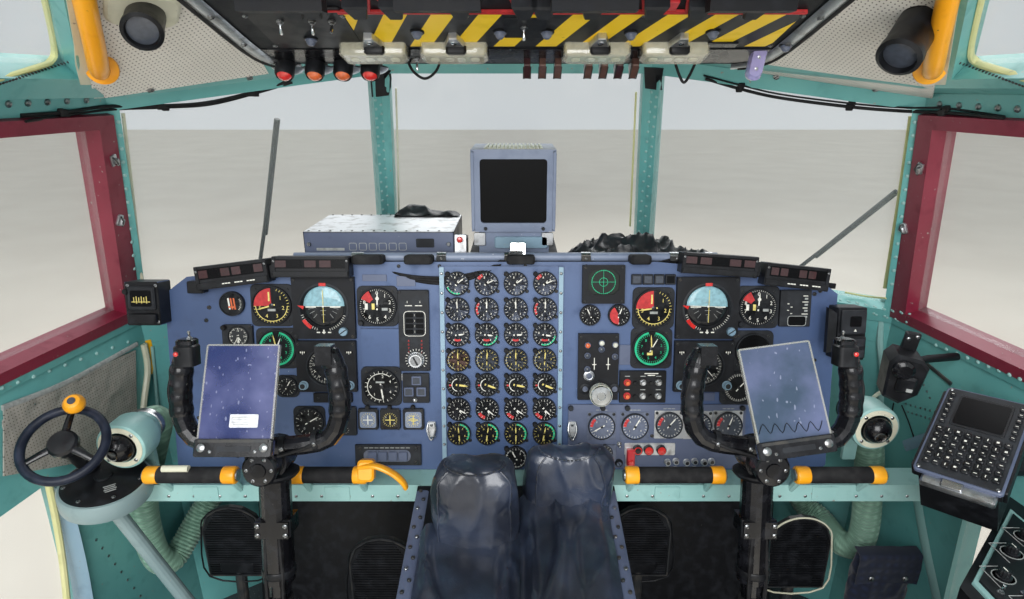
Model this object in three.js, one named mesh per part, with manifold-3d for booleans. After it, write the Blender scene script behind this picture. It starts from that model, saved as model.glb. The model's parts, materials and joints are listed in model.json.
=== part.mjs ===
// The forward flight deck of a four-engined military transport plane: the cab around the windshield,
// the instrument panel, both pilots' controls, the pedestal and the overhead panel.
// Millimetres, +Z up, +Y towards the nose, +X to the right. The origin is on the underside of the floor,
// on the centreline. Left and right pieces are mirrored in the plane X = 0 unless a comment says otherwise.
import * as THREE from "three";
import { mergeVertices } from "three/addons/utils/BufferGeometryUtils.js";
import Module from "manifold-3d";

const wasm = await Module();
wasm.setup();

// Driving dimensions
const FLOOR_THICK = 80;
const SPLIT_GAP = 0.4; // between pieces that touch
const WALL = 45; // hull wall: skin, frames and lining
const ROOF_WALL = 34;
const AFT_Y = -450; // where the section ends
const SILL_Z = 960; // top of the lower hull
const PANEL_BASE = { y: 297, z: 757 }; // foot of the instrument panel
const PANEL_LEAN = THREE.MathUtils.degToRad(10.2); // its top leans forward
const PANEL_TALL = 464;
const PANEL_THICK = 5;
const COLUMN_X = 456; // half the distance between the two control columns
const COLUMN_PIVOT = { y: -62, z: 135 };
const COLUMN_LEAN = THREE.MathUtils.degToRad(11.5); // parked on the forward stop
const YOKE_UP = 790; // yoke hub above the column's pivot, along the column
const PEDESTAL_HALF = 210;
const PEDAL_X = { left: { inboard: 317, outboard: 720 }, right: { inboard: 317, outboard: 703 } };

// Materials
const paint = (color, roughness = 0.5, metalness = 0) =>
  new THREE.MeshStandardMaterial({ color, roughness, metalness });
const teal = paint(0x5fae9f);
const panelBlue = paint(0x5a6f9c);
const black = paint(0x17181c, 0.4);
const blackCrackle = paint(0x202126, 0.7);
const leather = paint(0x1d222e, 0.35);
const quilt = paint(0xb9b2a6, 0.9);
const maroon = paint(0x8e2038);
const glass = new THREE.MeshStandardMaterial({ color: 0xcfe3dc, transparent: true, opacity: 0.25, roughness: 0.05 });
const yellow = paint(0xe9c11c);
const aluminium = paint(0xc3c6c8, 0.35, 0.9);
const hoseGreen = paint(0x8fb8a0, 0.8);
const floorGrey = paint(0x3a3f42, 0.8);
const skinGrey = paint(0x8b9194, 0.5);

// Solids: three.js makes the shapes, manifold-3d joins and cuts them
function solid(geometry) {
  const bare = geometry.index ? geometry.toNonIndexed() : geometry.clone();
  for (const name of Object.keys(bare.attributes)) if (name !== "position") bare.deleteAttribute(name);
  const merged = mergeVertices(bare, 1e-3);
  const mesh = new wasm.Mesh({
    numProp: 3,
    vertProperties: merged.attributes.position.array,
    triVerts: new Uint32Array(merged.index.array),
  });
  return new wasm.Manifold(mesh);
}

function geometryOf(manifold) {
  const mesh = manifold.getMesh();
  const geometry = new THREE.BufferGeometry();
  geometry.setAttribute("position", new THREE.BufferAttribute(new Float32Array(mesh.vertProperties), 3));
  geometry.setIndex(new THREE.BufferAttribute(new Uint32Array(mesh.triVerts), 1));
  const faceted = geometry.toNonIndexed();
  faceted.computeVertexNormals();
  return faceted;
}

const union = (...solids) => solids.flat().reduce((all, one) => all.add(one));

// A box from its low corner to its high corner.
function box(x0, x1, y0, y1, z0, z1, turn = null) {
  const geometry = new THREE.BoxGeometry(x1 - x0, y1 - y0, z1 - z0);
  if (turn) geometry.applyMatrix4(turn);
  return solid(geometry.translate((x0 + x1) / 2, (y0 + y1) / 2, (z0 + z1) / 2));
}

// A round bar between two points; end lets it taper.
function rod(from, to, radius, sides = 12, end = radius) {
  const a = new THREE.Vector3(...from);
  const b = new THREE.Vector3(...to);
  const along = b.clone().sub(a);
  const geometry = new THREE.CylinderGeometry(end, radius, along.length(), sides);
  const turn = new THREE.Quaternion().setFromUnitVectors(new THREE.Vector3(0, 1, 0), along.clone().normalize());
  geometry.applyQuaternion(turn);
  geometry.translate(...a.add(b).multiplyScalar(0.5).toArray());
  return solid(geometry);
}

// A bar bent through points, of a round section.
function bentBar(points, radius, sides = 10, steps = 24) {
  const curve = new THREE.CatmullRomCurve3(points.map((p) => new THREE.Vector3(...p)), false, "catmullrom", 0.5);
  const section = new THREE.Shape();
  for (let i = 0; i < sides; i++) {
    const turn = (2 * Math.PI * i) / sides;
    const [x, y] = [radius * Math.cos(turn), radius * Math.sin(turn)];
    if (i) section.lineTo(x, y);
    else section.moveTo(x, y);
  }
  section.closePath();
  return solid(new THREE.ExtrudeGeometry(section, { steps, extrudePath: curve, bevelEnabled: false }));
}

// An outline in the X-Z plane, made thick from y0 to y1.
function plate(outline, y0, y1, holes = []) {
  const shape = new THREE.Shape(outline.map(([x, z]) => new THREE.Vector2(x, z)));
  for (const hole of holes) shape.holes.push(new THREE.Path(hole.map(([x, z]) => new THREE.Vector2(x, z))));
  const geometry = new THREE.ExtrudeGeometry(shape, { depth: y1 - y0, bevelEnabled: false, curveSegments: 6 });
  return solid(geometry.rotateX(Math.PI / 2).translate(0, y1, 0));
}

// An outline in the Y-Z plane, made wide from x0 to x1.
function profile(outline, x0, x1) {
  const shape = new THREE.Shape(outline.map(([y, z]) => new THREE.Vector2(y, z)));
  const geometry = new THREE.ExtrudeGeometry(shape, { depth: x1 - x0, bevelEnabled: false });
  geometry.applyMatrix4(new THREE.Matrix4().set(0, 0, 1, x0, 1, 0, 0, 0, 0, 1, 0, 0, 0, 0, 0, 1));
  return solid(geometry);
}

// A closed loft through rings with equal numbers of points, listed anticlockwise seen from above, lowest ring first.
function loft(rings) {
  const points = rings.flat();
  const n = rings[0].length;
  const faces = [];
  for (let r = 0; r + 1 < rings.length; r++)
    for (let i = 0; i < n; i++) {
      const corners = [r * n + i, r * n + ((i + 1) % n), (r + 1) * n + ((i + 1) % n), (r + 1) * n + i];
      const middle = points.length;
      points.push([0, 1, 2].map((k) => corners.reduce((sum, c) => sum + points[c][k] / 4, 0)));
      corners.forEach((corner, k) => faces.push(corner, corners[(k + 1) % 4], middle));
    }
  const top = (rings.length - 1) * n;
  for (let i = 1; i + 1 < n; i++) {
    faces.push(0, i + 1, i);
    faces.push(top, top + i, top + i + 1);
  }
  const geometry = new THREE.BufferGeometry();
  geometry.setAttribute("position", new THREE.BufferAttribute(new Float32Array(points.flat()), 3));
  geometry.setIndex(faces);
  return solid(geometry);
}

const mirror = (manifold) => {
  const geometry = geometryOf(manifold).scale(-1, 1, 1);
  const p = geometry.attributes.position;
  const turned = new Float32Array(p.array.length);
  for (let t = 0; t < p.count; t += 3)
    [0, 2, 1].forEach((from, to) => turned.set(p.array.subarray((t + from) * 3, (t + from) * 3 + 3), (t + to) * 3));
  return solid(new THREE.BufferGeometry().setAttribute("position", new THREE.BufferAttribute(turned, 3)));
};

const deck = new THREE.Group();
function node(name, manifold, material, group = deck) {
  const mesh = new THREE.Mesh(geometryOf(manifold), material);
  mesh.name = name;
  group.add(mesh);
  return mesh;
}

function groupAt(x, y, z, tiltX = 0) {
  const group = new THREE.Group();
  group.position.set(x, y, z);
  group.rotation.x = tiltX;
  deck.add(group);
  return group;
}

// The cab: plan outlines of the left half, from the aft end round to the centre pane's post.
// Columns of each point: x, y, z. The four levels are the floor, the sill, the header and the crown.
const LEVELS = {
  floor: [[-1085, AFT_Y, FLOOR_THICK], [-985, 620, FLOOR_THICK], [-440, 1020, FLOOR_THICK]],
  sill: [[-1084, AFT_Y, 1020], [-967, 559, 1020], [-386, 931, 1020]],
  header: [[-925, AFT_Y, 1538], [-831, 382, 1547], [-328, 680, 1630]],
  crown: [[-500, AFT_Y, 1945], [-440, -130, 1930], [-220, -50, 1930]],
};
const ringOf = (half) => [
  ...half.map(([x, y, z]) => [-x, y, z]),
  ...half.map(([x, y, z]) => [x, y, z]).reverse(),
];

// The same ring moved inwards in plan by a wall's thickness; its aft edge goes out past the section's end.
function inset(ring, wall) {
  const n = ring.length;
  return ring.map(([x, y, z], i) => {
    const before = ring[(i + n - 1) % n];
    const after = ring[(i + 1) % n];
    const edge = (a, b) => {
      const d = new THREE.Vector2(b[0] - a[0], b[1] - a[1]).normalize();
      const aft = a[1] === AFT_Y && b[1] === AFT_Y;
      const out = aft ? -60 : wall;
      return { point: new THREE.Vector2(a[0] - d.y * out, a[1] + d.x * out), d };
    };
    const p = edge(before, [x, y]);
    const q = edge([x, y], after);
    const cross = p.d.x * q.d.y - p.d.y * q.d.x;
    const t = ((q.point.x - p.point.x) * q.d.y - (q.point.y - p.point.y) * q.d.x) / cross;
    return [p.point.x + p.d.x * t, p.point.y + p.d.y * t, z];
  });
}
const drop = (ring, dz) => ring.map(([x, y, z]) => [x, y, z + dz]);
const [floorRing, sillRing, headerRing, crownRing] = ["floor", "sill", "header", "crown"].map((k) => ringOf(LEVELS[k]));

const BIG = 3000;
const slab = (z0, z1) => box(-BIG, BIG, -BIG, BIG, z0, z1);
const outerLow = loft([floorRing, sillRing]);
const innerLow = loft([drop(inset(floorRing, WALL), -20), drop(inset(sillRing, WALL), 20)]);
const outerMid = loft([sillRing, headerRing]);
const innerMid = loft([drop(inset(sillRing, WALL), -20), drop(inset(headerRing, WALL), 20)]);
const outerTop = loft([headerRing, crownRing]);
const innerTop = loft([drop(inset(headerRing, WALL), -30), drop(inset(crownRing, ROOF_WALL), -ROOF_WALL)]);

// A window's cutter or pane on one facet: its four corners are given along the facet's lower and upper edge.
// a and b are shares of the way from the first corner post to the second, low and high of the way up.
function facetPoint(lowA, lowB, highA, highB, a, up) {
  const low = new THREE.Vector3(...lowA).lerp(new THREE.Vector3(...lowB), a);
  const high = new THREE.Vector3(...highA).lerp(new THREE.Vector3(...highB), a);
  return low.lerp(high, up);
}
function facetBlock(corners, spans, depthIn, depthOut) {
  const points = spans.map(([a, up]) => facetPoint(...corners, a, up));
  const inward = points[1].clone().sub(points[0]).cross(points[3].clone().sub(points[0])).normalize();
  const ring = (d) => points.map((p) => p.clone().addScaledVector(inward, d).toArray());
  return loft([ring(-depthOut), ring(depthIn)]);
}

// Facets of the left side, each from its aft or outboard post on; the right-hand ones are mirrored from these.
const [sa, sb, sc] = LEVELS.sill;
const [ha, hb, hc] = LEVELS.header;
const [ca, cb] = LEVELS.crown;
const sideFacet = [sa, sb, ha, hb].map((p) => p);
const frontFacet = [sb, sc, hb, hc];
const centreFacet = [sc, [-sc[0], sc[1], sc[2]], hc, [-hc[0], hc[1], hc[2]]];
const browFacet = [ha, hb, ca, cb];
// Corners of each opening as shares along and up the facet, anticlockwise seen from inside.
const openings = {
  side: { facet: sideFacet, spans: [[0.1, 0.06], [0.985, 0.06], [0.985, 0.965], [0.1, 0.965]] },
  front: { facet: frontFacet, spans: [[0.06, 0.1], [0.955, 0.1], [0.95, 0.972], [0.068, 0.972]] },
  centre: { facet: centreFacet, spans: [[0.04, 0.1], [0.96, 0.1], [0.955, 0.972], [0.045, 0.972]] },
  brow: { facet: browFacet, spans: [[0.15, 0.17], [0.9, 0.17], [0.8, 0.62], [0.15, 0.62]] },
};
const shrink = (spans, by) => {
  const [cx, cy] = [0, 1].map((k) => spans.reduce((s, p) => s + p[k], 0) / spans.length);
  return spans.map(([a, up]) => [a + Math.sign(cx - a) * by, up + Math.sign(cy - up) * by]);
};
const cutter = (key) => facetBlock(openings[key].facet, openings[key].spans, 140, 90);
const cutSide = cutter("side");
const cutFront = cutter("front");
const cutBrow = cutter("brow");

const lowShell = outerLow.subtract(innerLow);
const midShell = outerMid.subtract(innerMid);
const frameShell = midShell
  .subtract(cutSide).subtract(mirror(cutSide))
  .subtract(cutFront).subtract(mirror(cutFront))
  .subtract(cutter("centre"));

const floorSolid = loft([drop(floorRing, -FLOOR_THICK), drop(floorRing, -SPLIT_GAP)]);

// Lower hull, with a window in each side by the pilot's feet and a small one at each front corner
const FOOT_WINDOW = { y0: -330, y1: 225, z0: 330, z1: 790 };
const CORNER_WINDOW = { y0: 640, y1: 760, z0: 700, z1: 900 };
const footCut = box(-1300, -900, FOOT_WINDOW.y0, FOOT_WINDOW.y1, FOOT_WINDOW.z0, FOOT_WINDOW.z1);
const WALL_END_Y = 500;
const sideWall = lowShell
  .intersect(box(-BIG, 0, -BIG, WALL_END_Y, FLOOR_THICK + SPLIT_GAP, SILL_Z))
  .subtract(footCut);
node("hull_wall_left", sideWall, teal);
node("hull_wall_right", mirror(sideWall), teal);
const cornerCut = box(-1000, -640, CORNER_WINDOW.y0, CORNER_WINDOW.y1, CORNER_WINDOW.z0, CORNER_WINDOW.z1);
node(
  "nose_wall",
  lowShell
    .intersect(box(-BIG, BIG, WALL_END_Y + SPLIT_GAP, BIG, FLOOR_THICK + SPLIT_GAP, SILL_Z))
    .subtract(cornerCut)
    .subtract(mirror(cornerCut)),
  teal,
);

// Windshield frame: the ring of posts and rails above the lower hull
const upperLow = lowShell.intersect(slab(SILL_Z + SPLIT_GAP, 1020));
node("windshield_frame", union(upperLow, frameShell), teal);

// Roof shell with an eyebrow window each side
const roof = outerTop.subtract(innerTop).subtract(cutBrow).subtract(mirror(cutBrow));
node("roof_shell", roof.translate([0, 0, SPLIT_GAP]), skinGrey);

// Maroon seals round the side windows, and the panes
const sealOuter = facetBlock(sideFacet, shrink(openings.side.spans, 0.001), 50, 4);
const sealInner = facetBlock(sideFacet, shrink(openings.side.spans, 0.05), 140, 90);
const seal = sealOuter.subtract(sealInner);
node("window_seal_left", seal, maroon);
node("window_seal_right", mirror(seal), maroon);
const pane = (key, by) => facetBlock(openings[key].facet, shrink(openings[key].spans, by), 18, -6);
const sidePane = pane("side", 0.0505);
const frontPane = pane("front", 0.0005);
node("glass_side_left", sidePane, glass);
node("glass_side_right", mirror(sidePane), glass);
node("glass_front_left", frontPane, glass);
node("glass_front_right", mirror(frontPane), glass);
node("glass_centre", pane("centre", 0.0005), glass);
// Panes by the pilots' feet, in the front corners and in the roof
const footPane = innerLow
  .subtract(loft([drop(inset(floorRing, WALL + 8), -30), drop(inset(sillRing, WALL + 8), 30)]))
  .translate([-18, 0, 0])
  .intersect(box(-BIG, -900, FOOT_WINDOW.y0 + SPLIT_GAP, FOOT_WINDOW.y1 - SPLIT_GAP,
    FOOT_WINDOW.z0 + SPLIT_GAP, FOOT_WINDOW.z1 - SPLIT_GAP));
node("glass_foot_left", footPane, glass);
node("glass_foot_right", mirror(footPane), glass);
const cornerPane = innerLow
  .subtract(loft([drop(inset(floorRing, WALL + 8), -30), drop(inset(sillRing, WALL + 8), 30)]))
  .translate([-12, 16, 0])
  .intersect(box(-1000, -640, CORNER_WINDOW.y0 + SPLIT_GAP, CORNER_WINDOW.y1 - SPLIT_GAP,
    CORNER_WINDOW.z0 + SPLIT_GAP, CORNER_WINDOW.z1 - SPLIT_GAP));
node("glass_corner_left", cornerPane, glass);
node("glass_corner_right", mirror(cornerPane), glass);
const browPane = pane("brow", 0.0006);
node("glass_brow_left", browPane, glass);
node("glass_brow_right", mirror(browPane), glass);

// Instrument panel. Places on it are u across and v up from its foot; the face looks aft, along its own -Y.
const panel = groupAt(0, PANEL_BASE.y, PANEL_BASE.z, -PANEL_LEAN);
const PLATE_OUTLINE = [
  [-744, 0], [680, 0], [690, 12], [690, 395], [640, 432], [300, PANEL_TALL],
  [-380, PANEL_TALL], [-704, 432], [-754, 395], [-754, 12],
];
const BIG_CAN = { half: 58, deep: 130 };
const bigDials = [ // u, v, wide, tall
  { name: "attitude_indicator_left", u: -411, v: 366, w: 133, h: 133 },
  { name: "attitude_indicator_right", u: 409, v: 366, w: 133, h: 133 },
  { name: "heading_indicator_left", u: -410, v: 238, w: 129, h: 112 },
  { name: "heading_indicator_right", u: 407, v: 238, w: 129, h: 112 },
];
const roundDials = [ // u, v, diameter
  [-608, 375, 52], [-523, 371, 84], [-297, 369, 82], [-517, 277, 84], [-294, 192, 79],
  [-455, 112, 64], [-499, 192, 44], [159, 350, 44], [221, 350, 46],
  [295, 365, 84], [518.5, 367, 82], [293, 277, 83], [513, 272, 76], [486, 190, 70],
];
const boxDials = [ // u, v, wide, tall
  [-600, 305, 65, 48], [-293, 279, 82, 82], [-219.5, 316, 65, 176], [-218, 189, 57, 65],
  [-324.5, 119, 44, 46], [-276, 119, 44, 46], [-225, 119, 44, 46], [-371, 114, 40, 64],
  [-283, 36, 145, 46], [-400, 167, 84, 20], [598, 365, 65, 78], [276, 192, 100, 70],
];
const disc = (u, v, d, y0, y1, sides = 20) => rod([u, y0, v], [u, y1, v], d / 2, sides);
const block = (u, v, w, h, y0, y1) => box(u - w / 2, u + w / 2, y0, y1, v - h / 2, v + h / 2);
let plateSolid = plate(PLATE_OUTLINE, 0, PANEL_THICK);
for (const d of bigDials)
  plateSolid = plateSolid.subtract(block(d.u, d.v, 2 * BIG_CAN.half - 20, Math.min(d.h, 116) - 20, -10, 20));
for (const [u, v, d] of roundDials) plateSolid = plateSolid.add(disc(u, v, d, -7, 40));
for (const [u, v, w, h] of boxDials) plateSolid = plateSolid.add(block(u, v, w, h, -7, 30));
for (const u of [257, 281, 305, 329]) plateSolid = plateSolid.add(block(u, 427, 21, 21, -6, 3));
// Hooded rows of warning lights along the panel's upper edge: u, v, width, height, turn in degrees
const lampHoods = [[-592, 440, 152, 48, 7], [-427, 456, 160, 42, 0], [424, 460, 158, 42, -4], [586, 435, 134, 46, -6]];
for (const [u, v, w, h, deg] of lampHoods) {
  const turn = new THREE.Matrix4().makeRotationY(THREE.MathUtils.degToRad(-deg));
  plateSolid = plateSolid.add(box(u - w / 2, u + w / 2, -34, 1, v - h / 2, v + h / 2, turn));
}
plateSolid = plateSolid
  .add(block(-778, 380, 69, 91, -40, 4))
  .add(block(703, 316, 58, 110, -40, 4));
node("instrument_panel", plateSolid, panelBlue, panel);
for (const d of bigDials) {
  const tall = Math.min(d.h, 116) - 21;
  const bezel = block(d.u, d.v, d.w, d.h, -12, -SPLIT_GAP);
  const can = block(d.u, d.v, 2 * BIG_CAN.half - 21, tall, -5, BIG_CAN.deep);
  const open = disc(d.u, d.v, Math.min(d.w, d.h) - 26, -20, -6, 24);
  node(d.name, bezel.add(can).subtract(open).subtract(disc(486, 190, 71, -20, 60)), black, panel);
}

// Engine gauges: seven rows and a part row in four columns
const ENGINE = { u0: -163, u1: 101, v0: 8, v1: 455, firstU: -125.2, pitchU: 62.4, topV: 418.7, pitchV: 55.3, d: 50.5 };
let engine = box(ENGINE.u0, ENGINE.u1, -5, -SPLIT_GAP, ENGINE.v0, ENGINE.v1);
for (const u of [ENGINE.u0 + 5, ENGINE.u1 - 5]) engine = engine.add(block(u, 231.5, 10, 447, -8, -1));
for (let row = 0; row < 8; row++)
  for (let column = 0; column < 4; column++) {
    if (row === 7 && column < 2) continue;
    const u = ENGINE.firstU + column * ENGINE.pitchU;
    engine = engine.add(disc(u, ENGINE.topV - row * ENGINE.pitchV, ENGINE.d, -12, -1, 16));
  }
node("engine_panel", engine, panelBlue, panel);

// Right-hand sub-panels
let lower = block(310, 78, 390, 146, -5, -SPLIT_GAP);
for (const [u, v, d] of [[188, 103, 58], [261, 103, 58], [336, 106, 58], [400, 105, 58], [466, 105, 60]])
  lower = lower.add(disc(u, v, d, -12, -1, 18));
lower = lower.add(block(196, 42, 49, 37, -11, -1));
for (const u of [268, 292, 320]) lower = lower.add(disc(u, 50, 20, -16, -1, 12));
node("lower_subpanel", lower, panelBlue, panel);
let scope = block(186, 417, 90, 82, -14, -SPLIT_GAP);
scope = scope.subtract(block(186, 422, 66, 54, -20, -9));
node("radar_scope", scope, blackCrackle, panel);
let gear = block(178, 237, 87, 146, -12, -SPLIT_GAP);
gear = gear.add(rod([178, -4, 200], [178, -52, 190], 5, 10)).add(disc(178, 189, 44, -66, -46, 20));
node("gear_lever_panel", gear, black, panel);

// The space inside the lower hull and inside the windshield frame, for pieces that end on the walls
const roomBetween = (low, high) => loft([
  drop(inset(low, WALL + SPLIT_GAP), -20), drop(inset(high, WALL + SPLIT_GAP), 20),
]);
const lowRoom = roomBetween(floorRing, sillRing);
const innerRoom = roomBetween(sillRing, headerRing);

// Beam under the panel with the four footrest bars
const BEAM = { y0: 240, y1: 305, z0: 715, z1: 755.8 };
const REST = { y: 200, z: 808, grip: 12.5, end: 16.5 };
const restSpans = [[-758, -579], [-459, -311], [229, 424], [579, 752]]; // from, to across the deck
let beam = box(-BIG, BIG, BEAM.y0, BEAM.y1, BEAM.z0, BEAM.z1).intersect(lowRoom);
for (const [x0, x1] of restSpans) {
  beam = beam.add(rod([x0, REST.y, REST.z], [x1, REST.y, REST.z], REST.grip, 12));
  for (const [a, b] of [[x0, x0 + 29], [x1 - 29, x1]])
    beam = beam
      .add(rod([a, REST.y, REST.z], [b, REST.y, REST.z], REST.end, 12))
      .add(rod([(a + b) / 2, REST.y, REST.z], [(a + b) / 2, BEAM.y0 + 12, BEAM.z0 + 20], 8, 8));
}
node("footrest_beam", beam, teal);

// Coaming deck over the panel, sloping down to the windshield, with its rail of tube and a level shelf in the middle
const COAMING = { edge: 1206, thick: 12, slope: 0.3, y0: 398, level: 340, fall: 0.128, half: 700, shelf: 1212 };
const deckAt = (x, y) => COAMING.edge - COAMING.slope * (y - COAMING.y0)
  - COAMING.fall * Math.max(0, Math.abs(x) - COAMING.level);
const deckPart = (x0, x1) => loft([-COAMING.thick, 0].map((dz) =>
  [[x0, COAMING.y0], [x1, COAMING.y0], [x1, 1000], [x0, 1000]].map(([x, y]) => [x, y, deckAt(x, y) + dz])));
const deckParts = [
  deckPart(-COAMING.half, -COAMING.level), deckPart(-COAMING.level, COAMING.level),
  deckPart(COAMING.level, COAMING.half),
];
const shelves = [[-478, -122, 425, 655], [-104, 94, 455, 650]].map(([x0, x1, y0, y1]) =>
  box(x0, x1, y0, y1, 1158, COAMING.shelf));
const coaming = union(deckParts, shelves)
  .add(rod([-478, 400, 1219], [433, 400, 1219], 9.5, 12))
  .add(box(-478, 433, 396, 404, 1196, 1212))
  .intersect(innerRoom);
const besideSeal = facetBlock(sideFacet, openings.side.spans, 51, 4);
node("coaming", coaming.subtract(besideSeal).subtract(mirror(besideSeal)), blackCrackle);
node("radio_box", box(-469, -136, 442, 645, COAMING.shelf + SPLIT_GAP, 1265), aluminium);
const DISPLAY = { x0: -98, x1: 87, y0: 462, y1: 640, z0: 1262, z1: 1440 };
let display = box(DISPLAY.x0, DISPLAY.x1, DISPLAY.y0, DISPLAY.y1, DISPLAY.z0, DISPLAY.z1)
  .subtract(box(DISPLAY.x0 + 18, DISPLAY.x1 - 18, DISPLAY.y0 - 5, DISPLAY.y0 + 5, DISPLAY.z0 + 18, DISPLAY.z1 - 18))
  .add(box(-83, 74, 470, 620, COAMING.shelf + SPLIT_GAP, DISPLAY.z0 + 2));
node("display_unit", display, panelBlue);

// Control columns and yokes. Each column's own frame has its origin at the foot pivot and +Z up the column.
const column = union(
  rod([0, 22, 0], [0, 22, 560], 21, 16),
  rod([0, 22, 545], [0, 22, 760], 29.5, 18),
  box(-31, 31, -6, 50, 640, 672),
  rod([0, -8, YOKE_UP], [0, 52, YOKE_UP], 35, 20),
  rod([-51.6, 0, 0], [51.6, 0, 0], 26, 16),
);
const HORN = { x: 139, bar: 40, top: 210, radius: 18 };
const hornPath = [
  [0, -26, HORN.bar - 4], [70, -26, HORN.bar], [118, -26, HORN.bar + 12], [HORN.x, -26, HORN.bar + 46],
  [HORN.x + 2, -26, 138], [HORN.x - 3, -26, 182], [HORN.x - 14, -26, HORN.top],
];
const mirrored = (points) => points.map(([x, y, z]) => [-x, y, z]);
const yoke = union(
  bentBar(hornPath, HORN.radius, 12, 14),
  bentBar(mirrored(hornPath), HORN.radius, 12, 14),
  rod([0, -44, 0], [0, -8 - SPLIT_GAP, 0], 31, 20),
  box(-26, 26, -43, -14, -6, 44),
  rod([0, -30, 36], [0, -101, 67.6], 9, 10),
  box(HORN.x - 32, HORN.x - 4, -48, -20, HORN.top - 20, HORN.top + 14),
  box(-HORN.x + 4, -HORN.x + 32, -48, -20, HORN.top - 20, HORN.top + 14),
);
// Chart board clipped to the yoke's crossbar: its foot is nearer the pilot than its top.
const BOARD = { wide: 125, tall: 176, thick: 6, lean: THREE.MathUtils.degToRad(19.5) };
const boardTurn = new THREE.Matrix4().makeRotationX(-BOARD.lean);
const board = (roll, shiftX, spare = 0) => {
  const spin = new THREE.Matrix4().makeRotationY(roll);
  const turn = boardTurn.clone().multiply(spin);
  const sheet = new THREE.BoxGeometry(BOARD.wide + spare, BOARD.thick + spare, BOARD.tall + spare);
  const clip = new THREE.BoxGeometry(BOARD.wide + spare, 16 + spare, 24 + spare).translate(0, 4, -BOARD.tall / 2 + 2);
  return solid(sheet.applyMatrix4(turn)).add(solid(clip.applyMatrix4(turn))).translate([shiftX, -76, 144]);
};
const acrylic = new THREE.MeshStandardMaterial({ color: 0xb9cfe0, transparent: true, opacity: 0.6, roughness: 0.1 });
for (const [side, sign, roll, shiftX] of [["left", -1, 0, -14], ["right", 1, -0.13, 0]]) {
  const frame = groupAt(sign * COLUMN_X, COLUMN_PIVOT.y, COLUMN_PIVOT.z, -COLUMN_LEAN);
  node(`column_${side}`, column, blackCrackle, frame);
  const head = new THREE.Group();
  head.position.z = YOKE_UP;
  frame.add(head);
  node(`yoke_${side}`, yoke.subtract(board(roll, shiftX, 0.6)), black, head);
  node(`chart_board_${side}`, board(roll, shiftX), acrylic, head);
}

// Column feet: two cheeks and a boot plate on the floor
const foot = union(
  box(-90, 90, -140, 90, FLOOR_THICK - 10, 96),
  box(-74, -52, -50, 50, 90, 175),
  box(52, 74, -50, 50, 90, 175),
);
const feet = [-1, 1].map((sign) => foot.translate([sign * COLUMN_X, COLUMN_PIVOT.y, 0]));
node("deck_floor", union(floorSolid, feet), floorGrey);

// Rudder pedals on arms hinged in a frame on the floor
const PEDAL = { wide: 155, low: 360, high: 572, pivotZ: 170, arm: 14 };
const pedalY = { left: { outboard: 410, inboard: 295 }, right: { outboard: 370, inboard: 410 } };
const PEDAL_PIVOT_Y = 400;
function pedal(x, y) {
  const arched = [
    [x - 77.5, PEDAL.low], [x + 77.5, PEDAL.low], [x + 77.5, 505], [x + 62, 545], [x + 32, 566],
    [x, PEDAL.high], [x - 32, 566], [x - 62, 545], [x - 77.5, 505],
  ];
  return union(
    plate(arched, y, y + 14),
    rod([x, PEDAL_PIVOT_Y, PEDAL.pivotZ], [x, y + 16, 440], PEDAL.arm, 12),
    rod([x - 44.6, PEDAL_PIVOT_Y, PEDAL.pivotZ], [x + 44.6, PEDAL_PIVOT_Y, PEDAL.pivotZ], 18, 14),
  );
}
for (const [side, sign] of [["left", -1], ["right", 1]]) {
  for (const place of ["outboard", "inboard"])
    node(`pedal_${side}_${place}`, pedal(sign * PEDAL_X[side][place], pedalY[side][place]), black);
  let frame = box(-275, 275, 330, 470, FLOOR_THICK, 120);
  frame = frame.add(profile([[520, 80], [600, 80], [660, 560], [625, 560]], -225, 225));
  frame = frame.add(box(-250, 250, 460, 560, FLOOR_THICK, 100));
  for (const place of ["outboard", "inboard"]) {
    const x = sign * (PEDAL_X[side][place] - 510);
    frame = frame
      .add(box(x - 58, x - 45, PEDAL_PIVOT_Y - 28, PEDAL_PIVOT_Y + 28, 110, 200))
      .add(box(x + 45, x + 58, PEDAL_PIVOT_Y - 28, PEDAL_PIVOT_Y + 28, 110, 200));
  }
  node(`pedal_frame_${side}`, frame.translate([sign * 510, 0, SPLIT_GAP / 2]), black);
}

// Centre pedestal and the leather covers over its levers
const PEDESTAL_TOP = [[-350, 660], [-33, 713], [235, 757]];
const pedestal = profile([[-350, FLOOR_THICK], [235, FLOOR_THICK], ...[...PEDESTAL_TOP].reverse()],
  -PEDESTAL_HALF, PEDESTAL_HALF);
node("pedestal", pedestal.translate([0, 0, SPLIT_GAP / 2]), black);
const topAt = (y) => 713 + (y + 33) * (y < -33 ? 53 / 317 : 44 / 268);
const softBlock = (x0, x1, y0, y1, top) => profile(
  [[y0, topAt(y0) + 0.8], [y1, topAt(y1) + 0.8], [y1 - 8, top - 14], [(y0 + y1) / 2 + 8, top], [y0 + 12, top - 10]],
  x0, x1,
);
const sheetOver = (x0, x1, y0, y1) => profile(
  [[y0, topAt(y0) + 0.8], [y1, topAt(y1) + 0.8], [y1, topAt(y1) + 12], [y0, topAt(y0) + 12]], x0, x1,
);
node("throttle_cover", union(softBlock(-158, 6, 57, 150, 915), sheetOver(-178, 6, -300, 60)), leather);
node("flap_cover", union(softBlock(14, 200, 164, 232, 889), sheetOver(8, 182, -300, 168)), leather);

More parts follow.
